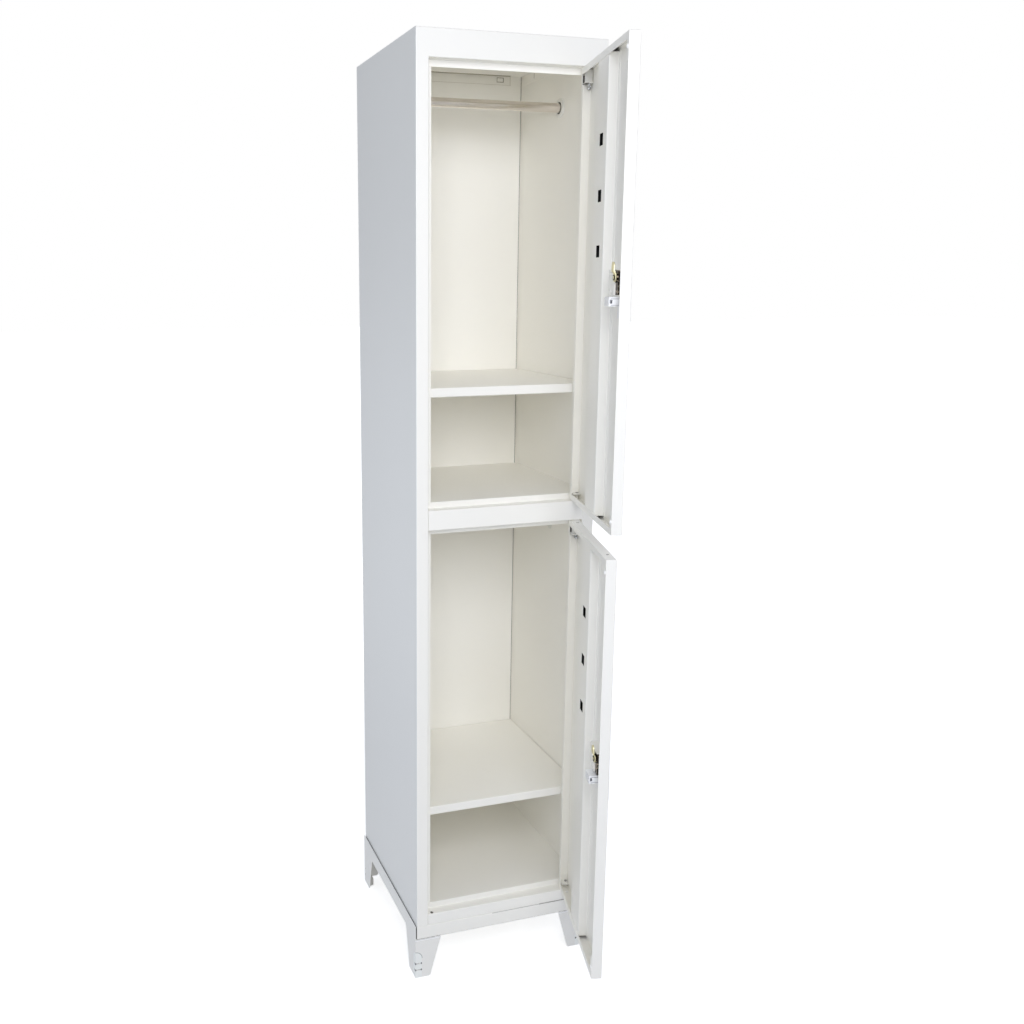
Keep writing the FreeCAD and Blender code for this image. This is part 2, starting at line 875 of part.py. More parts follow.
def pivot_brackets(door):
    """One angle near each end of the door, each with its wall leaf turned up."""
    upper_low = door_height - bracket_drop - bracket_sheet
    return group([pivot_bracket(door, bracket_rise, bracket_rise), pivot_bracket(door, upper_low, upper_low)])


def upper_pivot_pin(door):
    """Pin that slides down out of its bush by its bent handle."""
    top = door_height + door_gap + pin_engagement
    handle_w = door_height - bracket_drop - bracket_sheet - handle_drop
    shank = rod(pin_radius, door.point(pivot_inset, pivot_setback, handle_w - pin_tail),
                door.point(pivot_inset, pivot_setback, top))
    handle = rod(handle_radius, door.point(pivot_inset, pivot_setback, handle_w),
                 door.point(pivot_inset + handle_length, pivot_setback, handle_w))
    return joined(shank, handle)


def lower_pivot_pin(door):
    """Fixed pin with a collar that rests on its bracket."""
    seat = bracket_rise + bracket_sheet
    shank = rod(pin_radius, door.point(pivot_inset, pivot_setback, -door_gap - pin_engagement),
                door.point(pivot_inset, pivot_setback, seat + pin_collar_height / 2))
    collar = rod(pin_collar_radius, door.point(pivot_inset, pivot_setback, seat),
                 door.point(pivot_inset, pivot_setback, seat + pin_collar_height))
    return joined(shank, collar)


def pull_span(size):
    """Range across the door of something as wide as size, centred on the pull."""
    middle = door_width - pull_edge_inset - pull_body_width / 2
    return middle - size / 2, middle + size / 2


def pull_rise(size):
    """Range up the door of something as tall as size, centred on the pull."""
    return pull_centre_height - size / 2, pull_centre_height + size / 2


def pull_screw_places():
    """Across the door, midway between the pull's body and the rim of its bezel."""
    body_low, body_high = pull_span(pull_body_width)
    bezel_low, bezel_high = pull_span(pull_bezel_width)
    return (body_low + bezel_low) / 2, (body_high + bezel_high) / 2


def pull_screw_height():
    return pull_centre_height - pull_screw_drop


def pull(door):
    """Bezel, sloped scoop and deep finger box moulded in one piece."""
    bezel_low, bezel_high = pull_span(pull_bezel_width)
    rim_low, rim_high = pull_rise(pull_bezel_height)
    bezel = door.block((bezel_low, bezel_high), (-pull_bezel_thick, 0), (rim_low, rim_high))
    corners = [e for e in bezel.Edges if e.BoundBox.YLength > pull_bezel_thick / 2]
    bezel = bezel.makeFillet(pull_bezel_corner, corners)
    u_low, u_high = pull_span(pull_body_width)
    w_low, w_high = pull_rise(pull_body_height)
    box_low = w_high - pull_box_height
    scoop = door.block((u_low, u_high), (-pull_bezel_thick / 2, pull_scoop_depth + pull_wall),
                       (w_low, w_high))
    box = door.block((u_low, u_high), (-pull_bezel_thick / 2, pull_box_depth), (box_low, w_high))
    body = joined(bezel, scoop, box)
    inner_u = (u_low + pull_wall, u_high - pull_wall)
    hollow = door.block(inner_u, (-pull_bezel_thick - 1, pull_box_depth - pull_wall),
                        (box_low + pull_wall, w_high - pull_wall))
    slope = [
        door.point(inner_u[0], -pull_bezel_thick - 1, w_low + pull_wall),
        door.point(inner_u[0], -pull_bezel_thick / 2, w_low + pull_wall),
        door.point(inner_u[0], pull_scoop_depth, box_low + 2 * pull_wall),
        door.point(inner_u[0], -pull_bezel_thick - 1, box_low + 2 * pull_wall),
    ]
    ramp = prism(slope, along_x * (inner_u[0] - inner_u[1]))
    window_low = (box_low + w_high - pull_window) / 2
    window_start = pull_box_depth - pull_window_inset - pull_window_width
    window = door.block((u_high - 2 * pull_wall, u_high + 1),
                        (window_start, window_start + pull_window_width),
                        (window_low, window_low + pull_window))
    body = body.cut(hollow).cut(ramp).cut(window)
    for u in pull_screw_places():
        body = body.cut(door.bar(small_screw_radius + small_screw_clearance, u,
                                 (-small_screw_grip, 1), pull_screw_height()))
    return body


def small_screw(door, u, w, seat, depth):
    """A pan-head screw whose head sits on a face at v = seat and points outward through it."""
    head = door.bar(small_head_radius, u, (seat, seat + small_head_height), w)
    shank = door.bar(small_screw_radius, u, (seat - depth, seat + small_head_height / 2), w)
    return joined(head, shank)


def pull_screws(door):
    """Screws through the door's sheet into the pull's bezel."""
    depth = door_sheet + small_screw_grip - small_screw_clearance
    return group([small_screw(door, u, pull_screw_height(), door_sheet, depth) for u in pull_screw_places()])


def lock_u():
    return door_width - lock_edge_inset


def lock_body(door):
    """Case and barrel of the lock in one casting."""
    u_high = lock_u() + lock_body_overlap
    u_low = u_high - lock_body_width
    w_high = lock_height + lock_body_above
    w_low = w_high - lock_body_height
    face = door_sheet + lock_body_depth
    case = door.block((u_low, u_high), (door_sheet, face), (w_low, w_high))
    boss = door.bar(lock_boss_radius, lock_u(), (face / 2, face + lock_boss_length), lock_height)
    neck = door.bar(lock_neck_radius, lock_u(), (0, face / 2), lock_height)
    body = joined(case, boss, neck)
    body = body.cut(door.bar(plug_face_radius + plug_fit, lock_u(), (-1, face + lock_boss_length + 1),
                             lock_height))
    for w in cover_screw_heights():
        hole = door.bar(small_screw_radius + small_screw_clearance, cover_screw_u(),
                        (face - 2 * small_screw_grip, face + 1), w)
        body = body.cut(hole)
    return body


def cover_screw_u():
    return lock_u() + lock_body_overlap - lock_body_width + cover_screw_inset


def cover_screw_heights():
    w_high = lock_height + lock_body_above
    return w_high - cover_screw_inset, w_high - lock_body_height + cover_screw_inset


def lock_cover(door):
    """Folded plate over the lock's case, cut away round its boss."""
    u_low = lock_u() + lock_body_overlap - lock_body_width - lock_cover_overhang
    w_high = lock_height + lock_body_above
    w_low = w_high - lock_body_height
    face = door_sheet + lock_body_depth
    plate = door.block((u_low, u_low + lock_cover_width), (face, face + lock_cover_sheet), (w_low, w_high))
    leg = door.block((u_low, u_low + lock_cover_sheet), (door_sheet, face + lock_cover_sheet / 2),
                     (w_low, w_high))
    cover = joined(plate, leg)
    cover = cover.cut(door.bar(lock_boss_radius + lock_cover_clearance, lock_u(),
                               (face - 1, face + lock_cover_sheet + 1), lock_height))
    for w in cover_screw_heights():
        cover = cover.cut(door.bar(small_screw_radius + small_screw_clearance, cover_screw_u(),
                                   (face - 1, face + lock_cover_sheet + 1), w))
    return cover


def cover_screws(door):
    """Screws through the cover into the lock's case."""
    seat = door_sheet + lock_body_depth + lock_cover_sheet
    depth = lock_cover_sheet + 2 * small_screw_grip - small_screw_clearance
    return group([small_screw(door, cover_screw_u(), w, seat, depth) for w in cover_screw_heights()])


def lock_ring(door):
    """Bright ring round the key face, on the door's outside."""
    ring = door.bar(ring_radius, lock_u(), (-ring_thick, 0), lock_height)
    rim = [e for e in ring.Edges if e.BoundBox.YMax < front - ring_thick / 2]
    ring = ring.makeFillet(ring_thick / 2, rim)
    return ring.cut(door.bar(plug_face_radius + plug_fit, lock_u(), (-ring_thick - 1, 1), lock_height))


def boss_end():
    return door_sheet + lock_body_depth + lock_boss_length


def lock_plug(door):
    """Turning plug with the key slot outside and a threaded stem for the cam."""
    shoulder = boss_end() + plug_proud
    stem_end = shoulder + cam_thick + cam_nut_height + plug_stem_proud
    barrel = door.bar(plug_face_radius, lock_u(), (-ring_thick - plug_proud, shoulder), lock_height)
    stem = door.bar(plug_stem_radius, lock_u(), (shoulder - 1, stem_end), lock_height)
    plug = joined(barrel, stem)
    slot = door.block((lock_u() - key_slot_width / 2, lock_u() + key_slot_width / 2),
                      (-ring_thick - plug_proud - 1, -ring_thick - plug_proud + key_slot_depth),
                      (lock_height - key_slot_length / 2, lock_height + key_slot_length / 2))
    return plug.cut(slot)


def cam(door):
    """Latch arm, pointing up when the door is unlocked, joggled away from its hub to pass the stop."""
    start = boss_end() + plug_proud
    half = cam_width / 2
    tip = lock_height + cam_length - half
    reach = (start, start + cam_crank + cam_thick)
    outline = joined(
        door.bar(half, lock_u(), reach, lock_height),
        door.block((lock_u() - half, lock_u() + half), reach, (lock_height, tip)),
        door.bar(half, lock_u(), reach, tip),
    )
    low = lock_height - half
    knee_low = lock_height + cam_knee_low
    knee_high = lock_height + cam_knee_high
    high = lock_height + cam_length
    places = [
        (start, low),
        (start + cam_thick, low),
        (start + cam_thick, knee_low),
        (reach[1], knee_high),
        (reach[1], high),
        (start + cam_crank, high),
        (start + cam_crank, knee_high),
        (start, knee_low),
    ]
    strip = prism([door.point(lock_u() - half, v, w) for v, w in places], along_x * -cam_width)
    hole = door.bar(plug_stem_radius + plug_fit, lock_u(), (start - 1, reach[1] + 1), lock_height)
    return outline.common(strip).cut(hole)


def cam_nut(door):
    """Nut that clamps the cam on the plug's stem."""
    start = boss_end() + plug_proud + cam_thick
    seat = door.point(lock_u(), start, lock_height)
    return hexagon(cam_nut_flats, plug_stem_radius + plug_fit, seat, along_y, cam_nut_height)


def door_bumpers(door):
    """Buttons on the corner tabs at the free edge, which meet the stop."""
    buttons = []
    for w in (bumper_end_inset, door_height - bumper_end_inset):
        span = (door_thickness, door_thickness + bumper_height)
        buttons.append(door.bar(bumper_radius, door_width - bumper_edge_inset, span, w))
    return group(buttons)


def save_door(door):
    """Write every node of one door in its open pose."""
    nodes = {
        "pan": door_pan(door),
        "stiffener": stiffener(door),
        "pivot_brackets": pivot_brackets(door),
        "lower_pivot_pin": lower_pivot_pin(door),
        "upper_pivot_pin": upper_pivot_pin(door),
        "pull": pull(door),
        "pull_screws": pull_screws(door),
        "lock_body": lock_body(door),
        "lock_cover": lock_cover(door),
        "cover_screws": cover_screws(door),
        "lock_ring": lock_ring(door),
        "lock_plug": lock_plug(door),
        "lock_cam": cam(door),
        "cam_nut": cam_nut(door),
        "bumpers": door_bumpers(door),
    }
    for node, shape in nodes.items():
        save(door.name + "_" + node, door.opened(shape))


left_side = left_side_panel()
left_legs = left_leg_frame()
save("left_side_panel", left_side)
save("right_side_panel", mirrored(left_side))
save("back_panel", back_panel())
save("top_panel", top_panel())
save("mid_divider", mid_divider())
save("bottom_panel", bottom_panel())
save("front_plinth_rail", front_plinth_rail())
save("rear_plinth_rail", rear_plinth_rail())
save("left_leg_frame", left_legs)
save("right_leg_frame", mirrored(left_legs))
save("foot_glides", foot_glides())
save("leg_bolts", leg_bolts())
save("leg_nuts", leg_nuts())
save("upper_shelf", shelf(upper_shelf_top))
save("lower_shelf", shelf(lower_shelf_top))
save("upper_shelf_clips", shelf_clips(upper_shelf_top))
save("lower_shelf_clips", shelf_clips(lower_shelf_top))
save("hanging_rod", hanging_rod())
save("rod_sockets", rod_sockets())
save("rod_plugs", rod_plugs())
save("pivot_bushes", pivot_bushes())
save_door(Door("upper_door", upper_open_low + door_gap, upper_open_angle))
save_door(Door("lower_door", lower_open_low + door_gap, lower_open_angle))
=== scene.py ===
import json
import math

import bmesh
import bpy
from mathutils import Matrix, Vector


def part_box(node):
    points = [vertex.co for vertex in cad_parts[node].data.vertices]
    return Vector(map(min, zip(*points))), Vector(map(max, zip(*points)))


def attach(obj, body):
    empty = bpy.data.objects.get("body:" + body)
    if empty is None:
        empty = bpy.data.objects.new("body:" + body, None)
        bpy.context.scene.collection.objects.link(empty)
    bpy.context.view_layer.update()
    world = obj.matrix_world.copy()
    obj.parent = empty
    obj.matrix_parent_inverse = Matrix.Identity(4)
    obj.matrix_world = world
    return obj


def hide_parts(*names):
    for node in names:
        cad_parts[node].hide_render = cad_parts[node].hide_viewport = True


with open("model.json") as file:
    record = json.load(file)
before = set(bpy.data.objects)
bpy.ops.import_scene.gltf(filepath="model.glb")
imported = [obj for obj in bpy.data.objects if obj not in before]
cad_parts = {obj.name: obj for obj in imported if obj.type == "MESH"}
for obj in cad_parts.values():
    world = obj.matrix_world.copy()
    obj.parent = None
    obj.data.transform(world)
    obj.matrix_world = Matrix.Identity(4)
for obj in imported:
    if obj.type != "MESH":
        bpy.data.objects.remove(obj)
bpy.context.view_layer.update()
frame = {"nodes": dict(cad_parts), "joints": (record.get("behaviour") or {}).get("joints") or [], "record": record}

# Two-door steel locker cabinet. The camera, the lamps and the floor are given in metres; the
# cabinet's own details are given in millimetres and turned to metres with MM.
MM = 0.001


# Camera ----------------------------------------------------------------------------------------

CAMERA_PLACE = Vector((-0.82123, -2.11578, 1.45410))
CAMERA_YAW = math.radians(17.686)
CAMERA_PITCH = math.radians(-11.744)
CAMERA_ROLL = math.radians(-0.195)
CAMERA_LENS = 37.635
CAMERA_SENSOR = 36.0
CAMERA_SHIFT = (0.10324, -0.01095)
CAMERA_REACH = 200.0


def make_camera():
    """A standing viewer, left of the cabinet, looking a little down and to the right."""
    data = bpy.data.cameras.new("camera")
    camera = bpy.data.objects.new("camera", data)
    bpy.context.scene.collection.objects.link(camera)
    data.sensor_width = CAMERA_SENSOR
    data.lens = CAMERA_LENS
    data.shift_x, data.shift_y = CAMERA_SHIFT
    data.clip_end = CAMERA_REACH
    forward = Vector((math.sin(CAMERA_YAW) * math.cos(CAMERA_PITCH),
                      math.cos(CAMERA_YAW) * math.cos(CAMERA_PITCH),
                      math.sin(CAMERA_PITCH)))
    level = Vector((math.cos(CAMERA_YAW), -math.sin(CAMERA_YAW), 0.0))
    upright = level.cross(forward)
    right = level * math.cos(CAMERA_ROLL) + upright * math.sin(CAMERA_ROLL)
    up = upright * math.cos(CAMERA_ROLL) - level * math.sin(CAMERA_ROLL)
    turn = Matrix((right, up, -forward)).transposed().to_4x4()
    camera.matrix_world = Matrix.Translation(CAMERA_PLACE) @ turn
    bpy.context.scene.camera = camera


make_camera()


# Colours and shader nodes ----------------------------------------------------------------------


def linear(hex_colour):
    """An sRGB hex colour as the linear RGBA that the shaders take."""
    channels = []
    for start in (0, 2, 4):
        value = int(hex_colour[start:start + 2], 16) / 255
        channels.append(value / 12.92 if value <= 0.04045 else ((value + 0.055) / 1.055) ** 2.4)
    return (*channels, 1.0)


def add_node(tree, kind, settings=None, links=None):
    """One shader node, with its settings, its sockets' values and what feeds them."""
    node = tree.nodes.new(kind)
    for name, value in (settings or {}).items():
        if isinstance(name, int) or name in node.inputs:
            node.inputs[name].default_value = value
        else:
            setattr(node, name, value)
    for name, source in (links or {}).items():
        tree.links.new(source, node.inputs[name])
    return node


def new_material(name):
    """An empty node material and its tree."""
    material = bpy.data.materials.new(name)
    material.use_nodes = True
    material.node_tree.nodes.clear()
    return material, material.node_tree


def seen_rays(tree):
    """1 for camera, glossy and transmission rays, 0 for the diffuse rays that carry light."""
    path = add_node(tree, "ShaderNodeLightPath")
    direct = add_node(tree, "ShaderNodeMath", {"operation": "ADD"},
                      {0: path.outputs["Is Camera Ray"], 1: path.outputs["Is Glossy Ray"]})
    total = add_node(tree, "ShaderNodeMath", {"operation": "ADD", "use_clamp": True},
                     {0: direct.outputs[0], 1: path.outputs["Is Transmission Ray"]})
    return total.outputs[0]


# Studio ----------------------------------------------------------------------------------------

WHITE = "FFFFFF"
SKY_LEVEL = 0.39
SKY_TINT = "F0F5FF"
FLOOR_COLOUR = "EDEDED"
FLOOR_SIZE = 60.0
# The floor glows a little round the cabinet and fully from FLOOR_FAR on, where it turns white.
FLOOR_NEAR = 0.8
FLOOR_FAR = 2.8
FLOOR_GLOW_NEAR = 0.6
FLOOR_GLOW_FAR = 1.0
# Name, place, aim, width and height, watts and colour of each soft lamp.
LAMPS = (
    ("key_lamp", (-0.56, -2.35, 2.05), (0.0, 0.0, 1.05), (1.3, 1.2), 34.5, "F9FAFF"),
    ("left_fill", (-2.6, -1.1, 0.95), (0.1, -0.3, 0.95), (0.9, 1.4), 7.6, "EAF2FF"),
    ("left_glow", (-1.15, -0.15, 0.95), (-0.19, -0.02, 0.92), (0.5, 0.5), 0.75, "EAF2FF"),
    ("right_fill", (2.6, 0.15, 1.2), (0.2, -0.1, 1.0), (0.9, 1.4), 8.0, "F4F7FF"),
    ("back_fill", (0.5, 2.8, 1.3), (0.0, 0.2, 1.0), (0.9, 1.4), 8.0, "F4F7FF"),
)
# The backs of the bays are lit only by light that goes from sheet to sheet many times.
ALL_BOUNCES = 16
DIFFUSE_BOUNCES = 12


def make_world():
    """Even white surroundings: full white where they are seen, lower and a little cool as light."""
    world = bpy.data.worlds.new("studio")
    bpy.context.scene.world = world
    world.use_nodes = True
    tree = world.node_tree
    tree.nodes.clear()
    light = add_node(tree, "ShaderNodeBackground",
                     {"Color": linear(SKY_TINT), "Strength": SKY_LEVEL})
    seen = add_node(tree, "ShaderNodeBackground", {"Color": linear(WHITE), "Strength": 1.0})
    mix = add_node(tree, "ShaderNodeMixShader", None,
                   {0: seen_rays(tree), 1: light.outputs[0], 2: seen.outputs[0]})
    add_node(tree, "ShaderNodeOutputWorld", None, {"Surface": mix.outputs[0]})


def make_floor():
    """Pale matt floor that fades to white away from the cabinet and keeps its shadow."""
    mesh = bpy.data.meshes.new("floor")
    half = FLOOR_SIZE / 2
    corners = [(-half, -half, 0), (half, -half, 0), (half, half, 0), (-half, half, 0)]
    mesh.from_pydata(corners, [], [(0, 1, 2, 3)])
    floor = bpy.data.objects.new("floor", mesh)
    bpy.context.scene.collection.objects.link(floor)
    material, tree = new_material("pale_floor")
    place = add_node(tree, "ShaderNodeNewGeometry")
    distance = add_node(tree, "ShaderNodeVectorMath", {"operation": "LENGTH"},
                        {0: place.outputs["Position"]})
    lift = add_node(tree, "ShaderNodeMapRange",
                    {"interpolation_type": "SMOOTHSTEP", "From Min": FLOOR_NEAR,
                     "From Max": FLOOR_FAR, "To Min": FLOOR_GLOW_NEAR, "To Max": FLOOR_GLOW_FAR},
                    {"Value": distance.outputs["Value"]})
    strength = add_node(tree, "ShaderNodeMath", {"operation": "MULTIPLY"},
                        {0: lift.outputs[0], 1: seen_rays(tree)})
    matt = add_node(tree, "ShaderNodeBsdfDiffuse", {"Color": linear(FLOOR_COLOUR)})
    glow = add_node(tree, "ShaderNodeEmission", {"Color": linear(WHITE)},
                    {"Strength": strength.outputs[0]})
    both = add_node(tree, "ShaderNodeAddShader", None, {0: matt.outputs[0], 1: glow.outputs[0]})
    add_node(tree, "ShaderNodeOutputMaterial", None, {"Surface": both.outputs[0]})
    mesh.materials.append(material)


def make_lamp(name, place, target, size, power, colour):
    """A large soft lamp, which the camera doesn't see."""
    data = bpy.data.lights.new(name, "AREA")
    data.shape = "RECTANGLE"
    data.size, data.size_y = size
    data.energy = power
    data.color = linear(colour)[:3]
    lamp = bpy.data.objects.new(name, data)
    bpy.context.scene.collection.objects.link(lamp)
    aim = (Vector(target) - Vector(place)).to_track_quat("-Z", "Y")
    lamp.matrix_world = Matrix.Translation(place) @ aim.to_matrix().to_4x4()
    lamp.visible_camera = False


make_world()
make_floor()
for lamp_row in LAMPS:
    make_lamp(*lamp_row)
bpy.context.scene.view_settings.view_transform = "Standard"
bpy.context.scene.cycles.max_bounces = ALL_BOUNCES
bpy.context.scene.cycles.diffuse_bounces = DIFFUSE_BOUNCES


# Areas of another colour in a coat -------------------------------------------------------------


def in_metres(**ranges):
    """A box {axis: (low, high)} from millimetres to metres. absX takes both sides alike."""
    return {axis: (low * MM, high * MM) for axis, (low, high) in ranges.items()}


def zone(colour, **ranges):
    """An area given in millimetres, and its colour."""
    return in_metres(**ranges), colour


# A round-topped pad pressed into the outer front corner of each leg is drawn only in paint: its
# face as painted light, its rim as painted shade.
LEG_CORNER_X = 193.5 * MM
LEG_CORNER_Y = -200.0 * MM
PAD_CENTRE_Z = 46.0 * MM
PAD_RADIUS = 14.2 * MM
PAD_RIM = 1.4 * MM
PAD_TOP = in_metres(Y=(-201.5, -198.5), Z=(46.0, 64.0))


def inside(tree, place, ranges):
    """1 within a box given as {axis: (low, high)} in metres, 0 outside it."""
    axes = add_node(tree, "ShaderNodeSeparateXYZ", None, {0: place})
    factor = None
    for axis, (low, high) in ranges.items():
        source = axes.outputs[axis[-1]]
        if axis.startswith("abs"):
            source = add_node(tree, "ShaderNodeMath", {"operation": "ABSOLUTE"},
                              {0: source}).outputs[0]
        within = add_node(tree, "ShaderNodeMath",
                          {"operation": "COMPARE", 1: (low + high) / 2, 2: (high - low) / 2},
                          {0: source}).outputs[0]
        if factor is None:
            factor = within
        else:
            factor = add_node(tree, "ShaderNodeMath", {"operation": "MULTIPLY"},
                              {0: factor, 1: within}).outputs[0]
    return factor


def pad_distance(tree, place):
    """How far a place is from the pad's centre: sideways below it, and all round above it."""
    axes = add_node(tree, "ShaderNodeSeparateXYZ", None, {0: place})
    aside = add_node(tree, "ShaderNodeMath", {"operation": "ABSOLUTE"}, {0: axes.outputs["X"]})
    across = add_node(tree, "ShaderNodeMath", {"operation": "SUBTRACT", 0: LEG_CORNER_X},
                      {1: aside.outputs[0]})
    along = add_node(tree, "ShaderNodeMath", {"operation": "SUBTRACT", 1: LEG_CORNER_Y},
                     {0: axes.outputs["Y"]})
    away = add_node(tree, "ShaderNodeMath", {"operation": "MAXIMUM"},
                    {0: across.outputs[0], 1: along.outputs[0]})
    over = add_node(tree, "ShaderNodeMath", {"operation": "SUBTRACT", 1: PAD_CENTRE_Z},
                    {0: axes.outputs["Z"]})
    above = add_node(tree, "ShaderNodeMath", {"operation": "MAXIMUM", 1: 0.0},
                     {0: over.outputs[0]})
    flat = add_node(tree, "ShaderNodeCombineXYZ", None, {0: away.outputs[0], 1: above.outputs[0]})
    distance = add_node(tree, "ShaderNodeVectorMath", {"operation": "LENGTH"},
                        {0: flat.outputs[0]})
    return distance.outputs["Value"]


def lit_pad_face(tree, place):
    """1 on the pad's face of painted light, 0 off it."""
    return add_node(tree, "ShaderNodeMath", {"operation": "LESS_THAN", 1: PAD_RADIUS},
                    {0: pad_distance(tree, place)}).outputs[0]


def shaded_pad_rim(tree, place):
    """1 in the thin painted shade over the pad's rounded top, on the leg's front, 0 elsewhere."""
    ring = add_node(tree, "ShaderNodeMath",
                    {"operation": "COMPARE", 1: PAD_RADIUS + PAD_RIM / 2, 2: PAD_RIM / 2},
                    {0: pad_distance(tree, place)})
    return add_node(tree, "ShaderNodeMath", {"operation": "MULTIPLY"},
                    {0: ring.outputs[0], 1: inside(tree, place, PAD_TOP)}).outputs[0]


def with_areas(tree, place, swing, coat, areas):
    """The coat's colour with other colours laid over areas, each a box or a function. swing is an
    open door's pivot and angle; it takes a place back to where it is with the door shut."""
    if swing:
        centre, angle = swing
        place = add_node(tree, "ShaderNodeVectorRotate",
                         {"rotation_type": "Z_AXIS", "Center": centre, "Angle": -angle},
                         {"Vector": place}).outputs[0]
    for area, area_colour in areas:
        within = area(tree, place) if callable(area) else inside(tree, place, area)
        coat = add_node(tree, "ShaderNodeMix", {"data_type": "RGBA", 7: linear(area_colour)},
                        {0: within, 6: coat}).outputs[2]
    return coat


# Materials -------------------------------------------------------------------------------------

PAINT_IOR = 1.5
PAINT_ROUGHNESS = (0.38, 0.50)
# The coat's thickness drifts over a panel, and its white drifts with it.
CLOUD_MM = 260.0
# Real peel is 1 to 2 mm across; it is drawn at 4 mm so that it shows.
PEEL_MM = 4.0
PEEL_STRENGTH = 0.25
PEEL_DEPTH = 0.12 * MM

PLASTIC_IOR = 1.5
# Spark-eroded grain is under 0.1 mm; it is drawn at 1.2 to 1.5 mm so that it shows.
FINE_GRAIN_MM = 1.2
GRAIN_MM = 1.5
GRAIN_STRENGTH = 0.2
GRAIN_DEPTH = 0.1 * MM
GRAIN_GLOSS = 0.06
MOTTLE = 0.96

# The polish of chrome drifts slowly, over some 40 mm.
POLISH_MM = 40.0
# The bloom of zinc plate is under 1 mm; it is drawn at 4 to 5 mm so that it shows.
ZINC_MM = 4.0
YELLOW_ZINC_MM = 5.0
STREAK_GLOSS = (0.8, 1.3)
# Levels of the noise between which the second colour comes in: slowly, or as patches with clear
# edges, the painted highlights of the lock's case.
EVEN = (0.0, 1.0)
HIGHLIGHT_PATCHES = (0.50, 0.68)


def powder_coat(name, colour, shade, swing=None, areas=()):
    """Polyester powder paint baked on steel sheet: a satin white with the faint orange peel of a
    baked coat. Areas are painted shade or painted light laid into the coat's colour."""
    material, tree = new_material(name)
    place = add_node(tree, "ShaderNodeTexCoord").outputs["Object"]
    cloud = add_node(tree, "ShaderNodeTexNoise",
                     {"Scale": 1 / (CLOUD_MM * MM), "Detail": 2.0, "Roughness": 0.5},
                     {"Vector": place})
    tint = add_node(tree, "ShaderNodeMix",
                    {"data_type": "RGBA", 6: linear(colour), 7: linear(shade)},
                    {0: cloud.outputs["Fac"]})
    coat = with_areas(tree, place, swing, tint.outputs[2], areas)
    peel = add_node(tree, "ShaderNodeTexNoise",
                    {"Scale": 1 / (PEEL_MM * MM), "Detail": 2.0, "Roughness": 0.6},
                    {"Vector": place})
    gloss = add_node(tree, "ShaderNodeMapRange",
                     {"To Min": PAINT_ROUGHNESS[0], "To Max": PAINT_ROUGHNESS[1]},
                     {"Value": peel.outputs["Fac"]})
    bump = add_node(tree, "ShaderNodeBump", {"Strength": PEEL_STRENGTH, "Distance": PEEL_DEPTH},
                    {"Height": peel.outputs["Fac"]})
    paint = add_node(tree, "ShaderNodeBsdfPrincipled", {"IOR": PAINT_IOR},
                     {"Base Color": coat, "Roughness": gloss.outputs[0],
                      "Normal": bump.outputs[0]})
    add_node(tree, "ShaderNodeOutputMaterial", None, {"Surface": paint.outputs[0]})
    return material


def moulded_plastic(name, colour, roughness, grain_mm, swing=None, areas=()):
    """Injection-moulded plastic or rubber: a fine even grain and a slight mottle in its colour."""
    material, tree = new_material(name)
    place = add_node(tree, "ShaderNodeTexCoord").outputs["Object"]
    grain = add_node(tree, "ShaderNodeTexNoise", {"Scale": 1 / (grain_mm * MM), "Detail": 3.0},
                     {"Vector": place})
    red, green, blue, alpha = linear(colour)
    darker = (red * MOTTLE, green * MOTTLE, blue * MOTTLE, alpha)
    mottle = add_node(tree, "ShaderNodeMix", {"data_type": "RGBA", 6: linear(colour), 7: darker},
                      {0: grain.outputs["Fac"]})
    tint = with_areas(tree, place, swing, mottle.outputs[2], areas)
    gloss = add_node(tree, "ShaderNodeMapRange",
                     {"To Min": roughness - GRAIN_GLOSS, "To Max": roughness + GRAIN_GLOSS},
                     {"Value": grain.outputs["Fac"]})
    bump = add_node(tree, "ShaderNodeBump", {"Strength": GRAIN_STRENGTH, "Distance": GRAIN_DEPTH},
                    {"Height": grain.outputs["Fac"]})
    plastic = add_node(tree, "ShaderNodeBsdfPrincipled", {"IOR": PLASTIC_IOR},
                       {"Base Color": tint, "Roughness": gloss.outputs[0],
                        "Normal": bump.outputs[0]})
    add_node(tree, "ShaderNodeOutputMaterial", None, {"Surface": plastic.outputs[0]})
    return material


def plated_metal(name, colour, shade, roughness, streak_mm, patches=EVEN):
    """Plated, polished or cast metal: its colour and its gloss both drift in soft streaks, and
    close patch levels turn the streaks into patches with clear edges."""
    material, tree = new_material(name)
    place = add_node(tree, "ShaderNodeTexCoord").outputs["Object"]
    streak = add_node(tree, "ShaderNodeTexNoise", {"Scale": 1 / (streak_mm * MM), "Detail": 3.0},
                      {"Vector": place})
    patch = add_node(tree, "ShaderNodeMapRange",
                     {"From Min": patches[0], "From Max": patches[1]},
                     {"Value": streak.outputs["Fac"]})
    tint = add_node(tree, "ShaderNodeMix",
                    {"data_type": "RGBA", 6: linear(colour), 7: linear(shade)},
                    {0: patch.outputs[0]})
    gloss = add_node(tree, "ShaderNodeMapRange",
                     {"To Min": roughness * STREAK_GLOSS[0],
                      "To Max": roughness * STREAK_GLOSS[1]},
                     {"Value": streak.outputs["Fac"]})
    metal = add_node(tree, "ShaderNodeBsdfPrincipled", {"Metallic": 1.0},
                     {"Base Color": tint.outputs[2], "Roughness": gloss.outputs[0]})
    add_node(tree, "ShaderNodeOutputMaterial", None, {"Surface": metal.outputs[0]})
    return material


# Finishes --------------------------------------------------------------------------------------

PAINT = "F9F8F3"
PAINT_SHADE = "F7F5EF"
PULL_WHITE = "F1F2F4"
PULL_ROUGHNESS = 0.38
NYLON_GREY = "D2D0CB"
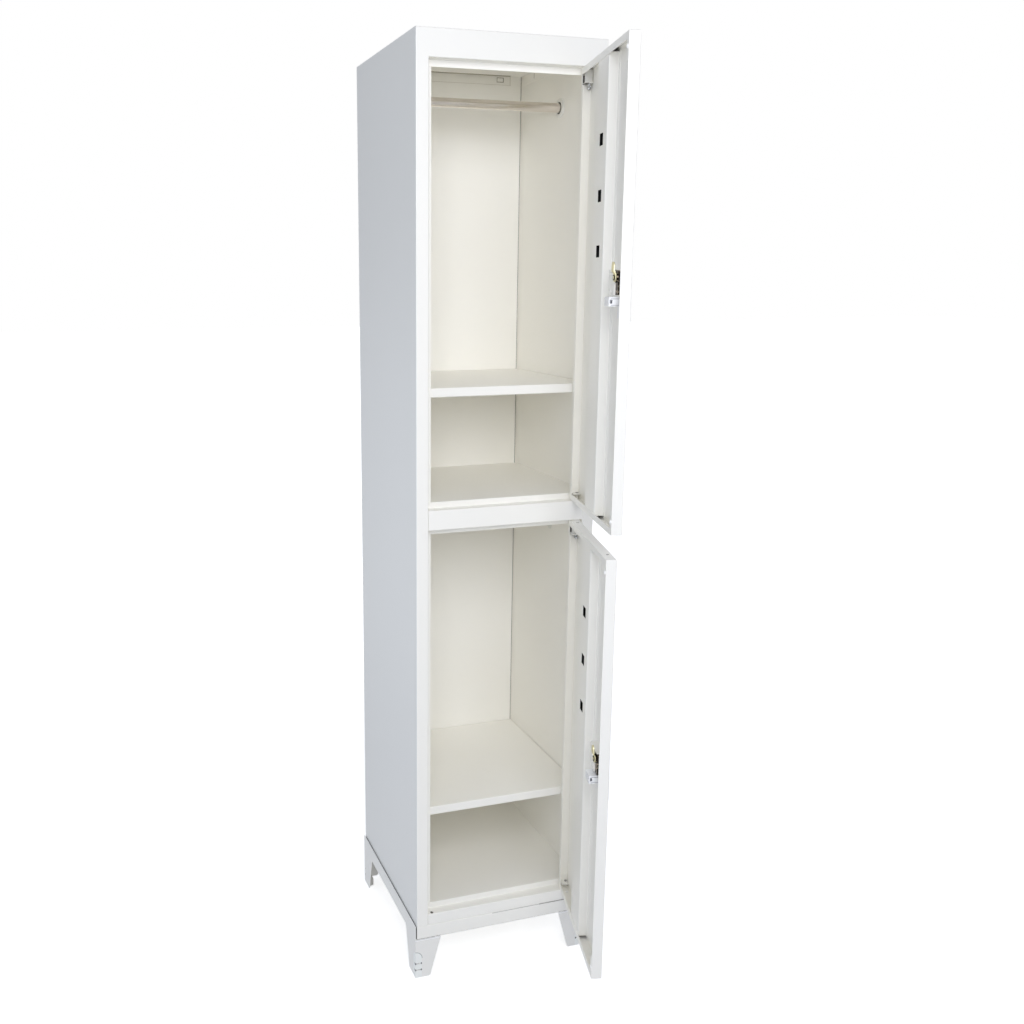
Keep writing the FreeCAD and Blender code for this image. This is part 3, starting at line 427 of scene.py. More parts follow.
# Painted shade, from deep to faint: near black in closed folds and gaps, then the shades of
# holes, slits and narrow places.
DEEP_PAINTED_SHADE = "191817"
HOLE_PAINTED_SHADE = "3A3834"
SLIT_PAINTED_SHADE = "454C4F"
GAP_SHADE = "55524D"
SEAM_SHADE = "6F6B62"
TAB_SHADE = "9A9587"
FOLD_SHADE = "A59E8C"
EDGE_SHADE = "CFCBC0"

# The slits of a leg's corner, on its front and on its outer side, where the glide's lug shows;
# painted shade marks their ends.
SLIT_FRONT = {"absX": (179.2, 181.7), "Y": (-201.0, -199.0)}
SLIT_SIDE = {"absX": (191.8, 194.5), "Y": (-201.5, -194.5)}
CAP_MIDDLE_X = (-157.4, -152.6)

# Baked coat of all the sheets: a warm satin white.
white_paint = powder_coat("white_powder_coat", PAINT, PAINT_SHADE)
# The same coat greyed to a pale grey: painted shade, as it lies in the door's own shade.
guard_paint = powder_coat("guard_paint", "DAD9D4", "D6D5D0")
# Pulls of moulded ABS: cooler than the coat and a little glossier.
white_abs = moulded_plastic("white_abs", PULL_WHITE, PULL_ROUGHNESS, FINE_GRAIN_MM)
# Bushes, rod sockets and plugs of moulded nylon: a soft half-gloss white.
white_nylon = moulded_plastic("white_nylon", "EDEDE9", roughness=0.45, grain_mm=GRAIN_MM)
# Grey moulded nylon: duller, so that marks of the floor don't show.
grey_nylon = moulded_plastic("grey_nylon", NYLON_GREY, roughness=0.55, grain_mm=GRAIN_MM)
# The same nylon on the foot glides, with painted shade where the corner's slits leave their
# lugs open.
glide_nylon = moulded_plastic("glide_nylon", NYLON_GREY, roughness=0.55, grain_mm=GRAIN_MM,
                              areas=[zone(SLIT_PAINTED_SHADE, **SLIT_SIDE)])
# Blind cap under a ledge hole: matt white, with a middle of painted shade where the hole lies.
blind_cap = moulded_plastic("blind_cap", "E6E4DE", roughness=0.7, grain_mm=GRAIN_MM,
                            areas=[zone(HOLE_PAINTED_SHADE, X=CAP_MIDDLE_X)])
# Soft rubber of the door bumpers: quite matt.
white_rubber = moulded_plastic("white_rubber", "F8F8F6", roughness=0.7, grain_mm=GRAIN_MM)
# Chromed tube: nearly a mirror; its warm tint is a painted reflection of the bay round it.
chrome = plated_metal("chromed_steel", "E6DFD8", "DDD6CE", roughness=0.10, streak_mm=POLISH_MM)
# Chromed trim ring of the lock: brighter and neutral.
bright_chrome = plated_metal("bright_chrome", "E9EBED", "DDE0E3", roughness=0.09,
                             streak_mm=POLISH_MM)
# Zinc-plated screws, bolts and pins: a soft grey sheen.
zinc_plate = plated_metal("zinc_plated_steel", "C9CBCD", "B4B7BA", roughness=0.32,
                          streak_mm=ZINC_MM)
# Oiled dark steel of the cam's nut.
dark_steel = plated_metal("dark_steel", "4F4A45", "3A3632", roughness=0.38, streak_mm=ZINC_MM)
# Die-cast case of the lock: nearly black, a painted reflection of dark surroundings, with pale
# patches of painted highlight.
dark_casting = plated_metal("dark_zinc_casting", "241A15", "D8C9B4", roughness=0.34,
                            streak_mm=ZINC_MM, patches=HIGHLIGHT_PATCHES)
# The lock's plug and cam are plated a pale straw yellow.
yellow_zinc = plated_metal("yellow_zinc_plate", "E6E2C6", "D6CF9F", roughness=0.36,
                           streak_mm=YELLOW_ZINC_MM)

FINISH = {
    "white_powder_coat": white_paint,
    "white_nylon": white_nylon,
    "white_abs": white_abs,
    "white_rubber": white_rubber,
    "grey_nylon": grey_nylon,
    "chromed_steel": chrome,
    "zinc_plated_steel": zinc_plate,
    "dark_steel": dark_steel,
    "dark_zinc_casting": dark_casting,
    "brass": yellow_zinc,
}


def node_slots():
    """The material slot of each CAD node, from the name of the material that it comes with."""
    found = {}
    for name, node in frame["nodes"].items():
        held = node.data.materials[0].name if node.data.materials else ""
        found[name] = held.split(".")[0]
    return found


def paint_node(node, material):
    """Give every slot of a CAD node one material."""
    for entry in frame["nodes"][node].material_slots:
        entry.material = material


SLOT_OF = node_slots()
BODY_OF = {node: body for body, nodes in frame["record"]["behaviour"]["bodies"].items()
           for node in nodes}

for node_name, slot_name in SLOT_OF.items():
    paint_node(node_name, FINISH[slot_name])


# Sides, legs, back, plinth and top -------------------------------------------------------------

# The sides' outer skin is a cooler grey, painted shade. The legs' strip hides the skin's foot;
# that foot and the strip's own inner face are near-black painted shade.
SKIN_PAINTED_SHADE = "E8E9E7"
SKIN_X = (189.3, 191.5)
SKIN_Z = (0.0, 1900.0)
SKIN_FOOT_X = (189.7, 190.5)
SKIN_FOOT_Z = (89.5, 119.0)
STRIP_BACK_X = (191.5, 192.3)
STRIP_BACK_Z = (91.5, 118.5)
side_paint = powder_coat("side_paint", PAINT, PAINT_SHADE, areas=[
    zone(SKIN_PAINTED_SHADE, absX=SKIN_X, Z=SKIN_Z),
    zone(DEEP_PAINTED_SHADE, absX=SKIN_FOOT_X, Z=SKIN_FOOT_Z),
])

# Each leg has a pale pad with a grey rim at its corner, four short slits and a light top edge,
# all painted: the pad's face is painted light, its rim and the slits' ends are painted shade, and
# the top edge is a painted highlight. The leg's coat itself is a little greyer, as painted shade.
LEG_PAINT = "F3F2EE"
LEG_PAINT_SHADE = "F0EFEB"
PAD_PAINTED_LIGHT = "F6F8F5"
PAD_RIM_PAINTED_SHADE = "ADB2B1"
SLIT_ZS = ((17.4, 21.1), (32.4, 36.1))
LEG_TOP_HIGHLIGHT = {"absX": (136.0, 193.7), "Y": (-201.5, -198.5), "Z": (86.8, 89.2)}
leg_paint = powder_coat("leg_paint", LEG_PAINT, LEG_PAINT_SHADE, areas=[
    zone(DEEP_PAINTED_SHADE, absX=STRIP_BACK_X, Z=STRIP_BACK_Z),
    (lit_pad_face, PAD_PAINTED_LIGHT),
    (shaded_pad_rim, PAD_RIM_PAINTED_SHADE),
    *(zone(SLIT_PAINTED_SHADE, Z=slit_z, **face) for face in (SLIT_FRONT, SLIT_SIDE) for slit_z in SLIT_ZS),
    zone(WHITE, **LEG_TOP_HIGHLIGHT),
])

# The back stops short of the sides, and the joint shows as a thin line of painted shade.
BACK_SEAM = {"absX": (186.3, 188.0), "Y": (197.0, 198.5)}
back_paint = powder_coat("back_paint", PAINT, PAINT_SHADE, areas=[zone(SEAM_SHADE, **BACK_SEAM)])

# The plinth rail's foot gets painted shade, most over the legs. Its joint with the bottom panel
# is a faint line of painted shade that grows deeper towards the hinges.
RAIL_FOOT_SHADE = "83827F"
RAIL_FOOT_Z = (89.0, 91.2)
OVER_LEG_SHADE = "4A4845"
OVER_LEG = {"absX": (137.0, 193.7), "Z": (89.0, 92.0)}
JOINT_FAINT_SHADE = "C6C5C2"
JOINT_FAINT = {"X": (-20.0, 90.0), "Z": (118.7, 119.8)}
JOINT_DEEP_SHADE = "A4A29E"
JOINT_DEEP = {"X": (90.0, 193.7), "Z": (118.6, 119.9)}
plinth_paint = powder_coat("plinth_paint", PAINT, PAINT_SHADE, areas=[
    zone(RAIL_FOOT_SHADE, Z=RAIL_FOOT_Z),
    zone(OVER_LEG_SHADE, **OVER_LEG),
    zone(JOINT_FAINT_SHADE, **JOINT_FAINT),
    zone(JOINT_DEEP_SHADE, **JOINT_DEEP),
])

# The top's rear flange shows its fold, its cut end, its lower line and the outline of a clinched
# tab as thin lines of painted shade. A short seam behind each side shows as painted shade too.
FLANGE_Y = (190.0, 200.0)
FLANGE_FOLD = {"absX": (0.0, 160.2), "Z": (1888.4, 1890.0)}
FLANGE_END = {"absX": (159.4, 160.6), "Z": (1864.0, 1890.0)}
FLANGE_LINE_Z = (1869.5, 1870.5)
TAB_X = (128.3, 144.4)
TAB_Z = (1875.3, 1885.3)
TAB_LINES = (
    {"X": TAB_X, "Z": (1875.3, 1876.5)},
    {"X": TAB_X, "Z": (1884.1, 1885.3)},
    {"X": (128.3, 129.6), "Z": TAB_Z},
    {"X": (143.0, 144.6), "Z": TAB_Z},
)
TOP_SEAM = {"absX": (180.0, 189.0), "Y": (130.2, 131.8), "Z": (1875.6, 1886.0)}
top_paint = powder_coat("top_paint", PAINT, PAINT_SHADE, areas=[
    zone(FOLD_SHADE, Y=FLANGE_Y, **FLANGE_FOLD),
    zone(EDGE_SHADE, Y=FLANGE_Y, **FLANGE_END),
    zone(EDGE_SHADE, Y=FLANGE_Y, Z=FLANGE_LINE_Z),
    *(zone(TAB_SHADE, Y=FLANGE_Y, **line) for line in TAB_LINES),
    zone(SEAM_SHADE, **TOP_SEAM),
])

paint_node("left_side_panel", side_paint)
paint_node("right_side_panel", side_paint)
paint_node("left_leg_frame", leg_paint)
paint_node("right_leg_frame", leg_paint)
paint_node("back_panel", back_paint)
paint_node("front_plinth_rail", plinth_paint)
paint_node("top_panel", top_paint)


# Piece making ----------------------------------------------------------------------------------

SMOOTH_BELOW = math.radians(35)
ROUND_ABOVE = math.radians(32)
FLAT_WITHIN = math.radians(1)
SAME_PLACE = 0.002 * MM
TURNED_SAME_PLACE = 0.01 * MM
ROUND_STEPS = 32

# Rounding of each piece's edges in millimetres, and the steps that draw it: most on mouldings,
# less on cast, stamped and folded metal.
SOFT_EDGES = {
    "pull": (0.7, 4),
    "lock_body": (0.5, 3),
    "lock_plug": (0.25, 2),
    "lock_cam": (0.45, 3),
    "cam_nut": (0.3, 2),
    "lock_cover": (0.35, 3),
    "pivot_brackets": (0.3, 2),
    "pin_guard": (0.4, 3),
    "rod_plugs": (0.8, 4),
    "pivot_bushes": (0.3, 2),
    "foot_glides": (1.2, 4),
    "leg_bolts": (0.6, 3),
    "leg_nuts": (0.5, 2),
    "upper_shelf_clips": (0.35, 2),
    "lower_shelf_clips": (0.35, 2),
}


def new_piece(name, bm, body, slot, finish=None, replaced=()):
    """A finished mesh piece that rides on its body and stands for the CAD nodes given."""
    bmesh.ops.recalc_face_normals(bm, faces=bm.faces)
    mesh = bpy.data.meshes.new(name)
    bm.to_mesh(mesh)
    bm.free()
    mesh.polygons.foreach_set("use_smooth", [True] * len(mesh.polygons))
    mesh.set_sharp_from_angle(angle=SMOOTH_BELOW)
    mesh.materials.append(finish or FINISH[slot])
    piece = bpy.data.objects.new(name, mesh)
    bpy.context.scene.collection.objects.link(piece)
    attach(piece, body)
    if replaced:
        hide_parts(*replaced)
    return piece


def soften(piece, part):
    """Round the sharp edges of a piece, as a press tool, mould or tumbler leaves them."""
    radius_mm, steps = SOFT_EDGES[part]
    bevel = piece.modifiers.new("soft_edges", "BEVEL")
    bevel.width = radius_mm * MM
    bevel.segments = steps
    bevel.limit_method = "ANGLE"
    bevel.angle_limit = ROUND_ABOVE
    bevel.use_clamp_overlap = True
    bevel.harden_normals = True


def solid_copy(node):
    """The CAD node's mesh with its triangles merged back into whole faces."""
    bm = bmesh.new()
    bm.from_mesh(frame["nodes"][node].data)
    bmesh.ops.remove_doubles(bm, verts=bm.verts, dist=SAME_PLACE)
    bmesh.ops.dissolve_limit(bm, angle_limit=FLAT_WITHIN, verts=bm.verts, edges=bm.edges)
    return bm


def softened(node, part, finish=None):
    """A piece with the CAD node's own shape and rounded edges."""
    bm = solid_copy(node)
    piece = new_piece(node + ".soft", bm, BODY_OF[node], SLOT_OF[node], finish, (node,))
    soften(piece, part)


def revolve(bm, profile, place, steps=ROUND_STEPS):
    """Add a turned solid, from (radius, height) pairs in millimetres; its axis is place's Z."""
    rings = []
    for radius, height in profile:
        if radius == 0:
            rings.append([bm.verts.new((0, 0, height * MM))])
            continue
        ring = []
        for step in range(steps):
            turn = 2 * math.pi * step / steps
            ring.append(bm.verts.new((radius * MM * math.cos(turn),
                                      radius * MM * math.sin(turn), height * MM)))
        rings.append(ring)
    for low, high in zip(rings, rings[1:]):
        for step in range(steps):
            after = (step + 1) % steps
            corners = [low[step % len(low)], low[after % len(low)],
                       high[after % len(high)], high[step % len(high)]]
            unique = list(dict.fromkeys(corners))
            if len(unique) > 2:
                bm.faces.new(unique)
    bmesh.ops.transform(bm, matrix=place, verts=[vert for ring in rings for vert in ring])


def cut_from(piece, cutter_bm):
    """Cut a shape out of a piece and keep the result as its mesh."""
    mesh = bpy.data.meshes.new("cutter")
    cutter_bm.to_mesh(mesh)
    cutter_bm.free()
    cutter = bpy.data.objects.new("cutter", mesh)
    bpy.context.scene.collection.objects.link(cutter)
    boolean = piece.modifiers.new("cut", "BOOLEAN")
    boolean.operation = "DIFFERENCE"
    boolean.solver = "EXACT"
    boolean.object = cutter
    bpy.context.view_layer.update()
    evaluated = piece.evaluated_get(bpy.context.evaluated_depsgraph_get())
    result = bpy.data.meshes.new_from_object(evaluated)
    piece.modifiers.remove(boolean)
    piece.data = result
    bpy.data.objects.remove(cutter)
    result.set_sharp_from_angle(angle=SMOOTH_BELOW)


# Doors -----------------------------------------------------------------------------------------

DOOR_WIDTH = 326.5
DOOR_HEIGHT = 824.5
DOOR_THICKNESS = 20.0
DOOR_END_GAP = 1.5
PIVOT_INSET = 8.0
PIVOT_SETBACK = 6.5
SHEET = 1.0


class Door:
    """A door's own directions at rest: u from its hinge edge, v inward, w up, in millimetres."""

    def __init__(self, name):
        self.name = name
        joint = next(entry for entry in frame["joints"] if entry["name"] == name + "_hinge")
        self.pivot = Vector(joint["pos_m"])
        self.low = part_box(name + "_pan")[0][2]
        self.angle = math.radians(-joint["range_deg"][0])
        self.turn = Matrix.Rotation(self.angle, 4, "Z")
        self.swing = (self.pivot, self.angle)

    def node(self, part):
        """The name of one of the door's CAD nodes."""
        return self.name + "_" + part

    def place(self, u, v, w):
        """A point of the open door, in metres."""
        closed = Vector(((PIVOT_INSET - u) * MM, (v - PIVOT_SETBACK) * MM, 0))
        swung = self.turn @ closed
        return Vector((self.pivot.x + swung.x, self.pivot.y + swung.y, self.low + w * MM))

    def facing(self, u, v, w, way):
        """A matrix that puts a turned piece on the door, its axis along way: in, out or up."""
        onto = {
            "in": Matrix.Rotation(math.radians(-90), 4, "X"),
            "out": Matrix.Rotation(math.radians(90), 4, "X"),
            "up": Matrix.Identity(4),
        }[way]
        return Matrix.Translation(self.place(u, v, w)) @ self.turn @ onto

    def add_block(self, bm, u_range, v_range, w_range):
        """Add a box of the open door to a mesh."""
        low = Vector((-u_range[1], v_range[0], w_range[0])) * MM
        high = Vector((-u_range[0], v_range[1], w_range[1])) * MM
        shut = Matrix.Translation((low + high) / 2) @ Matrix.Diagonal((*(high - low), 1.0))
        opened = Matrix.Translation(self.place(0, 0, 0)) @ self.turn @ shut
        bmesh.ops.create_cube(bm, size=1.0, matrix=opened)

    def shut_box(self, u_range, v_range, w_range):
        """A box of the shut door, as ranges on the world's axes in metres."""
        return {"X": (self.pivot.x + (PIVOT_INSET - u_range[1]) * MM,
                      self.pivot.x + (PIVOT_INSET - u_range[0]) * MM),
                "Y": (self.pivot.y + (v_range[0] - PIVOT_SETBACK) * MM,
                      self.pivot.y + (v_range[1] - PIVOT_SETBACK) * MM),
                "Z": (self.low + w_range[0] * MM, self.low + w_range[1] * MM)}


upper_door = Door("upper_door")
lower_door = Door("lower_door")
doors = (upper_door, lower_door)

# Inside the closed hat section the coat is near-black painted shade, seen through its vents and
# its open ends.
HAT_SECTION = ((DOOR_WIDTH / 2 - 36.3, DOOR_WIDTH / 2 + 36.3), (0.5, 18.3),
               (8.0, DOOR_HEIGHT - 8.0))
# Two small holes in the top flange, by which the door hangs while it is painted, are drawn as
# dots of painted shade.
HANGING_HOLE_US = ((30.7, 35.3), (287.7, 292.3))
HANGING_HOLE_V = (6.7, 11.3)
HANGING_HOLE_W = (DOOR_HEIGHT - 0.4, DOOR_HEIGHT + 0.4)


def door_paint(door):
    """Coat of a door's pan and stiffener, with painted shade inside the hat section and in the holes."""
    areas = [(door.shut_box(*HAT_SECTION), DEEP_PAINTED_SHADE)]
    areas += [(door.shut_box(hole_u, HANGING_HOLE_V, HANGING_HOLE_W), GAP_SHADE)
              for hole_u in HANGING_HOLE_US]
    return powder_coat(door.name + "_paint", PAINT, PAINT_SHADE, door.swing, areas)


for door in doors:
    door_coat = door_paint(door)
    paint_node(door.node("pan"), door_coat)
    paint_node(door.node("stiffener"), door_coat)


# Locks and pulls -------------------------------------------------------------------------------

LOCK_U = 300.0
LOCK_W = 440.0
COVER_FACE = 20.5
# The cover folds over the top of the lock's case and turns up along its free edge.
COVER_TOP = ((LOCK_U - 46.0, LOCK_U + 10.0), (SHEET, COVER_FACE), (LOCK_W + 12.0, LOCK_W + 13.2))
COVER_EDGE = ((LOCK_U - 6.0, LOCK_U - 4.8), (COVER_FACE - 1.5, COVER_FACE + 2.2),
              (LOCK_W - 28.9, LOCK_W - 10.0))
# Centres of the screws as (u, w), and how far their shanks reach.
COVER_SCREWS = ((271.0, 445.0), (271.0, 418.0))
COVER_SHANK = 5.0
PULL_SCREWS = ((273.5, 379.0), (310.5, 379.0))
PULL_SHANK = 2.5
# Turned shapes are (radius, height) pairs. The head is domed over a straight shank.
SHANK_RADIUS = 1.5
SCREW_HEAD = [(0, 1.5), (1.2, 1.46), (2.1, 1.25), (2.75, 0.85), (3.0, 0.35), (3.0, 0.0),
              (SHANK_RADIUS, 0.0)]
HEAD_HEIGHT = 1.5
CROSS_LENGTH = 3.4
CROSS_WIDTH = 0.8
CROSS_DEPTH = 0.9
# A wide bevel, a flat land and a sunk seat round the key plug.
RING_SHAPE = [(6.1, 0.0), (13.0, 0.0), (13.0, 0.7), (12.6, 1.2), (11.2, 2.2), (10.4, 2.5),
              (8.4, 2.5), (8.0, 2.3), (7.7, 1.9), (6.1, 1.9), (6.1, 0.0)]
RING_STEPS = 72
# Painted shade in two grooves of the pull's rim, and darker painted shade round the window for
# its catch.
PULL_SIDE_U = (303.0, 326.0)
PULL_GROOVE_WS = ((394.0, 395.0), (404.4, 405.5))
PULL_GROOVE_V = (-0.5, 29.5)
PULL_WINDOW_V = (26.9, 30.6)
PULL_WINDOW_W = (397.2, 403.3)
GROOVE_SHADE = "9C9EA3"
WINDOW_PAINTED_SHADE = "4A4B50"


def pull_plastic(door):
    """The pull's white ABS, with painted shade in the grooves of its rim and round the catch window."""
    areas = [(door.shut_box(PULL_SIDE_U, PULL_GROOVE_V, groove_w), GROOVE_SHADE)
             for groove_w in PULL_GROOVE_WS]
    areas.append((door.shut_box(PULL_SIDE_U, PULL_WINDOW_V, PULL_WINDOW_W), WINDOW_PAINTED_SHADE))
    return moulded_plastic(door.name + "_pull_plastic", PULL_WHITE, PULL_ROUGHNESS,
                           FINE_GRAIN_MM, door.swing, areas)


def add_cross(bm, place):
    """Add the plus-shaped prism that leaves a driver's recess in a screw head."""
    near, far = CROSS_WIDTH / 2, CROSS_LENGTH / 2
    quarter = [(far, -near), (far, near), (near, near)]
    outline = []
    for x, y in ((1, 0), (0, 1), (-1, 0), (0, -1)):
        outline += [(u * x - v * y, u * y + v * x) for u, v in quarter]
    levels = (HEAD_HEIGHT - CROSS_DEPTH, HEAD_HEIGHT + 1)
    low, high = [[bm.verts.new((u * MM, v * MM, level * MM)) for u, v in outline]
                 for level in levels]
    bm.faces.new(low[::-1])
    bm.faces.new(high)
    for step in range(len(outline)):
        after = (step + 1) % len(outline)
        bm.faces.new([low[step], low[after], high[after], high[step]])
    bmesh.ops.transform(bm, matrix=place, verts=low + high)


def pan_head_screws(door, part, centres, seat, shank, slot):
    """Pan-head screws with a cross recess, their heads on a sheet and facing inward."""
    bm = bmesh.new()
    cutter = bmesh.new()
    for u, w in centres:
        place = door.facing(u, seat, w, "in")
        revolve(bm, SCREW_HEAD + [(SHANK_RADIUS, -shank), (0, -shank)], place)
        add_cross(cutter, place)
    node = door.node(part)
    piece = new_piece(node + ".cross", bm, door.name, slot, replaced=(node,))
    cut_from(piece, cutter)


def lock_ring(door):
    """Chromed trim ring on the outer face, a bright rim round the key plug."""
    node = door.node("lock_ring")
    bm = bmesh.new()
    revolve(bm, RING_SHAPE, door.facing(LOCK_U, 0, LOCK_W, "out"), RING_STEPS)
    bmesh.ops.remove_doubles(bm, verts=bm.verts, dist=TURNED_SAME_PLACE)
    new_piece(node + ".turned", bm, door.name, SLOT_OF[node], bright_chrome, (node,))


def lock_cover(door):
    """Painted cover of the lock's case, with its folded top flange and turned-up free edge."""
    node = door.node("lock_cover")
    bm = solid_copy(node)
    door.add_block(bm, *COVER_TOP)
    door.add_block(bm, *COVER_EDGE)
    piece = new_piece(node + ".soft", bm, door.name, SLOT_OF[node], white_paint, (node,))
    soften(piece, "lock_cover")


# Pivots and bumpers of the doors ---------------------------------------------------------------

# Domed buttons near both ends of the free edge.
BUMPER_U = DOOR_WIDTH - 5.0
BUMPER_WS = (24.0, DOOR_HEIGHT - 24.0)
BUMPER_DOME = [(0, 2.7), (1.2, 2.62), (2.2, 2.3), (3.0, 1.7), (3.4, 1.0), (3.5, 0.3), (3.5, 0.0),
               (0, 0.0)]
# Both pins are 6 mm across with chamfered ends; the upper one has a handle near its foot.
LOWER_PIN = [(0, -7.5), (2.4, -7.5), (3.0, -6.7), (3.0, 13.8), (2.6, 14.5), (0, 14.5)]
HANDLE_W = DOOR_HEIGHT - 34.5
UPPER_PIN = [(0, HANDLE_W - 4.0), (2.5, HANDLE_W - 4.0), (3.0, HANDLE_W - 3.4),
             (3.0, DOOR_HEIGHT + 6.7), (2.4, DOOR_HEIGHT + 7.5), (0, DOOR_HEIGHT + 7.5)]
HANDLE = [(0, 0.0), (2.0, 0.0), (2.0, 12.6), (1.7, 13.4), (1.1, 13.9), (0.4, 14.0), (0, 14.0)]
HANDLE_STEPS = 24
# Over its bracket the lower pin is a grey of painted shade; under the leaf, painted light makes
# it pale like the door's coat.
PIN_GREY = "9A9994"
PIN_GREY_SHADE = "908F8A"
PIN_PAINTED_LIGHT = "E0DFDA"
PIN_BELOW_LEAF = ((4.0, 12.0), (2.0, 11.0), (-8.0, 12.2))
# The upper bracket gets dark painted shade behind the guard and under its leaf; the lower leaf
# gets a paler, light grey painted shade.
BRACKET_U = (0.9, 22.5)
BEHIND_GUARD = (BRACKET_U, (12.0, 17.5), (797.6, 812.5))
UNDER_LEAF = (BRACKET_U, (9.0, 17.5), (795.7, 796.3))
LOW_LEAF = (BRACKET_U, (1.5, 17.6), (11.5, 13.8))
LEAF_PAINTED_SHADE = "EBEAE5"
GUARD = ((17.4, 18.6), (2.2, 17.2), (796.0, 820.0))


def bracket_paint(door):
    """The pivot brackets' coat, with dark painted shade behind the pin's guard and a paler painted
    shade on the low leaf.
    """
    areas = [(door.shut_box(*BEHIND_GUARD), GAP_SHADE),
             (door.shut_box(*UNDER_LEAF), GAP_SHADE),
             (door.shut_box(*LOW_LEAF), LEAF_PAINTED_SHADE)]
    return powder_coat(door.name + "_bracket_paint", PAINT, PAINT_SHADE, door.swing, areas)


def lower_pin(door):
    """Fixed pivot pin with chamfered ends; its tip, grey with painted shade, stands over the
    bracket's leaf.
    """
    node = door.node("lower_pivot_pin")
    bm = bmesh.new()
    revolve(bm, LOWER_PIN, door.facing(PIVOT_INSET, PIVOT_SETBACK, 0, "up"))
    pin_paint = powder_coat(door.name + "_pin_paint", PIN_GREY, PIN_GREY_SHADE, door.swing,
                            [(door.shut_box(*PIN_BELOW_LEAF), PIN_PAINTED_LIGHT)])
    new_piece(node + ".turned", bm, door.name, SLOT_OF[node], pin_paint, (node,))


def upper_pin(door):
    """Retractable pivot pin: a chamfered shank with a round handle through its tail."""
    node = door.node("upper_pivot_pin")
    bm = bmesh.new()
    revolve(bm, UPPER_PIN, door.facing(PIVOT_INSET, PIVOT_SETBACK, 0, "up"))
    across = (Matrix.Translation(door.place(PIVOT_INSET, PIVOT_SETBACK, HANDLE_W)) @ door.turn
              @ Matrix.Rotation(math.radians(-90), 4, "Y"))
    revolve(bm, HANDLE, across, HANDLE_STEPS)
    new_piece(node + ".turned", bm, BODY_OF[node], SLOT_OF[node], zinc_plate, (node,))


def pin_guard(door):
    """Turned-up tongue of the upper pivot bracket, which hides the pin's shank from the room."""
    bm = bmesh.new()
    door.add_block(bm, *GUARD)
    piece = new_piece(door.node("pin_guard"), bm, door.name, "white_powder_coat", guard_paint)
    soften(piece, "pin_guard")


def bumpers(door):
    """Domed rubber buttons that soften the door's stop."""
    node = door.node("bumpers")
    bm = bmesh.new()
    for w in BUMPER_WS:
        revolve(bm, BUMPER_DOME, door.facing(BUMPER_U, DOOR_THICKNESS, w, "in"))
    new_piece(node + ".domed", bm, door.name, SLOT_OF[node], white_rubber, (node,))


for door in doors:
    softened(door.node("pull"), "pull", pull_plastic(door))
    for lock_part in ("lock_body", "lock_plug", "lock_cam", "cam_nut"):
        softened(door.node(lock_part), lock_part)
    softened(door.node("pivot_brackets"), "pivot_brackets", bracket_paint(door))
    lower_pin(door)
    upper_pin(door)
    pin_guard(door)
    lock_cover(door)
    lock_ring(door)
    bumpers(door)
    pan_head_screws(door, "pull_screws", PULL_SCREWS, SHEET, PULL_SHANK, "zinc_plated_steel")
    pan_head_screws(door, "cover_screws", COVER_SCREWS, COVER_FACE, COVER_SHANK,
                    "white_powder_coat")


# Cabinet hardware ------------------------------------------------------------------------------

ROD_ROUNDING = 0.6
ROD_STEPS = 96
# A wide dished flange and a low collar round the rod.
SOCKET_SHAPE = [(12.0, 0.0), (20.0, 0.0), (20.0, 0.8), (19.4, 1.7), (18.2, 2.3), (15.0, 2.5),
                (13.2, 2.9), (12.5, 3.2), (12.0, 3.2), (12.0, 0.0)]
SOCKET_STEPS = 64
SEAT_SHAPE = [(0, 0.05), (11.95, 0.05), (11.95, 1.6), (0, 1.6)]
SEAT_STEPS = 48
# The seat behind each rod end is painted shade; above and below the rod's middle the painted
# shade is deeper, most of all above it.
SEAT_SHADE = "8F8C84"
SEAT_ABOVE = (6.0, 12.5)
SEAT_ABOVE_DARK = "2E2C29"
SEAT_BELOW = (-12.5, -9.0)
SEAT_BELOW_DARK = "4A4843"
CAP_SHAPE = [(0, -2.6), (4.4, -2.6), (4.4, -1.1), (0, -1.1)]


def hanging_rod():
    """Chromed tube with lightly rounded ends."""
    low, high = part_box("hanging_rod")
    radius = (high.z - low.z) / 2 / MM
    half = (high.x - low.x) / 2 / MM
    tube = [(0, -half), (radius - ROD_ROUNDING, -half), (radius, ROD_ROUNDING - half),
            (radius, half - ROD_ROUNDING), (radius - ROD_ROUNDING, half), (0, half)]
    place = Matrix.Translation((low + high) / 2) @ Matrix.Rotation(math.radians(90), 4, "Y")
    bm = bmesh.new()
    revolve(bm, tube, place, ROD_STEPS)
    new_piece("hanging_rod.tube", bm, "cabinet", SLOT_OF["hanging_rod"], chrome, ("hanging_rod",))


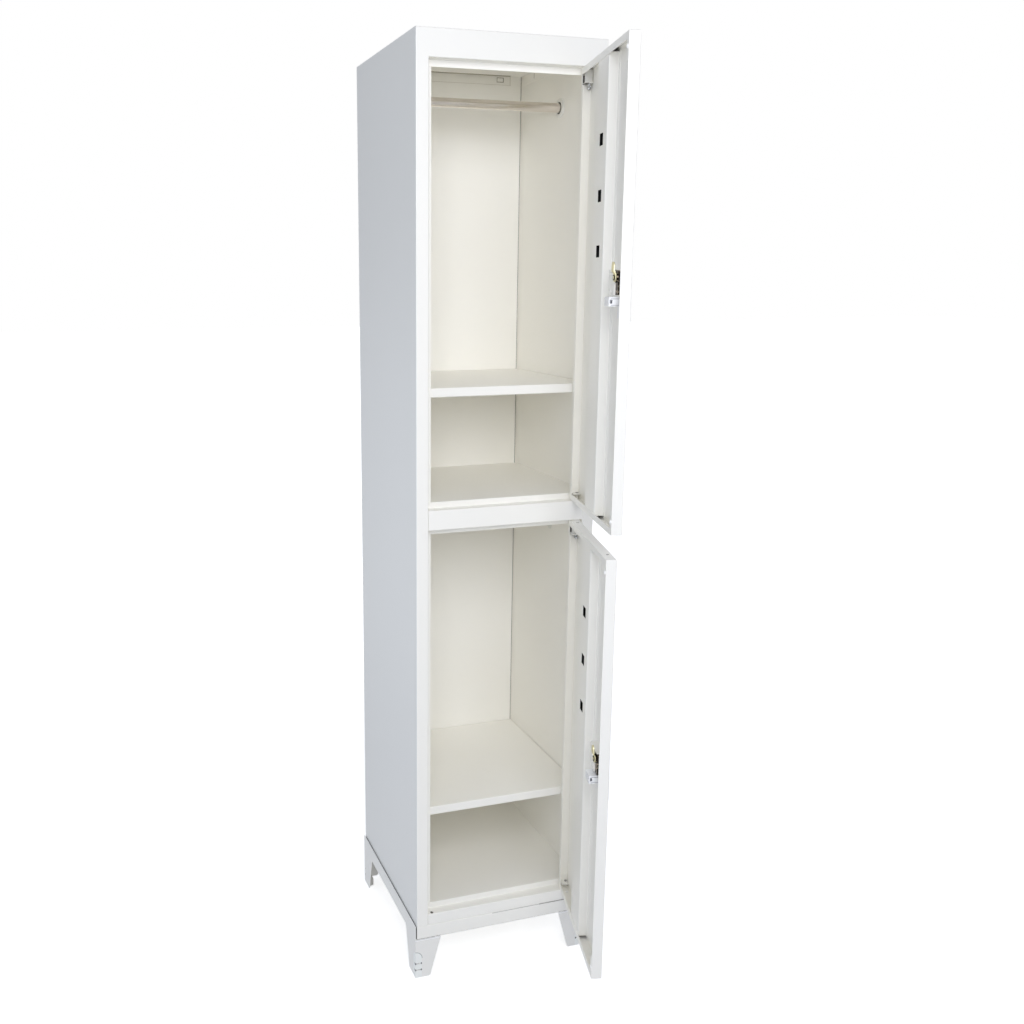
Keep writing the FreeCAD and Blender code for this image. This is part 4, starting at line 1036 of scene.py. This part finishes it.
def seat_painted_shade(middle):
    """Nylon coloured as painted shade behind the rod's ends; middle is the height of the rod's middle
    in metres.
    """
    areas = [({"Z": (middle + low * MM, middle + high * MM)}, dark)
             for (low, high), dark in ((SEAT_ABOVE, SEAT_ABOVE_DARK),
                                       (SEAT_BELOW, SEAT_BELOW_DARK))]
    return moulded_plastic("rod_seat_shade", SEAT_SHADE, roughness=0.7, grain_mm=GRAIN_MM,
                           areas=areas)


def rod_sockets():
    """Moulded rod rests, with a disc of painted shade in the gap that is left round the rod's end."""
    low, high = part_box("hanging_rod")
    middle = (low.z + high.z) / 2
    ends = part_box("rod_sockets")
    sockets = bmesh.new()
    shade_discs = bmesh.new()
    for wall_x, turn in ((ends[0].x, 90), (ends[1].x, -90)):
        inward = Matrix.Rotation(math.radians(turn), 4, "Y")
        place = Matrix.Translation((wall_x, 0, middle)) @ inward
        revolve(sockets, SOCKET_SHAPE, place, SOCKET_STEPS)
        revolve(shade_discs, SEAT_SHAPE, place, SEAT_STEPS)
    bmesh.ops.remove_doubles(sockets, verts=sockets.verts, dist=TURNED_SAME_PLACE)
    slot = SLOT_OF["rod_sockets"]
    new_piece("rod_sockets.moulded", sockets, "cabinet", slot, white_nylon, ("rod_sockets",))
    new_piece("rod_socket_seats", shade_discs, "cabinet", slot, seat_painted_shade(middle))


def spare_hole_plugs():
    """Blind caps under the left ledge holes, which are for doors hung the other way; they close the
    holes, and the lower one's middle is painted shade.
    """
    for door, finish, name in ((lower_door, blind_cap, "low"), (upper_door, white_nylon, "high")):
        ledge = door.low - DOOR_END_GAP * MM
        bm = bmesh.new()
        revolve(bm, CAP_SHAPE, Matrix.Translation((-door.pivot.x, door.pivot.y, ledge)))
        new_piece("spare_hole_plug_" + name, bm, "cabinet", "white_nylon", finish)


hanging_rod()
rod_sockets()
spare_hole_plugs()
softened("rod_plugs", "rod_plugs")
softened("pivot_bushes", "pivot_bushes")
softened("foot_glides", "foot_glides", glide_nylon)
for hardware in ("leg_bolts", "leg_nuts", "upper_shelf_clips", "lower_shelf_clips"):
    softened(hardware, hardware)
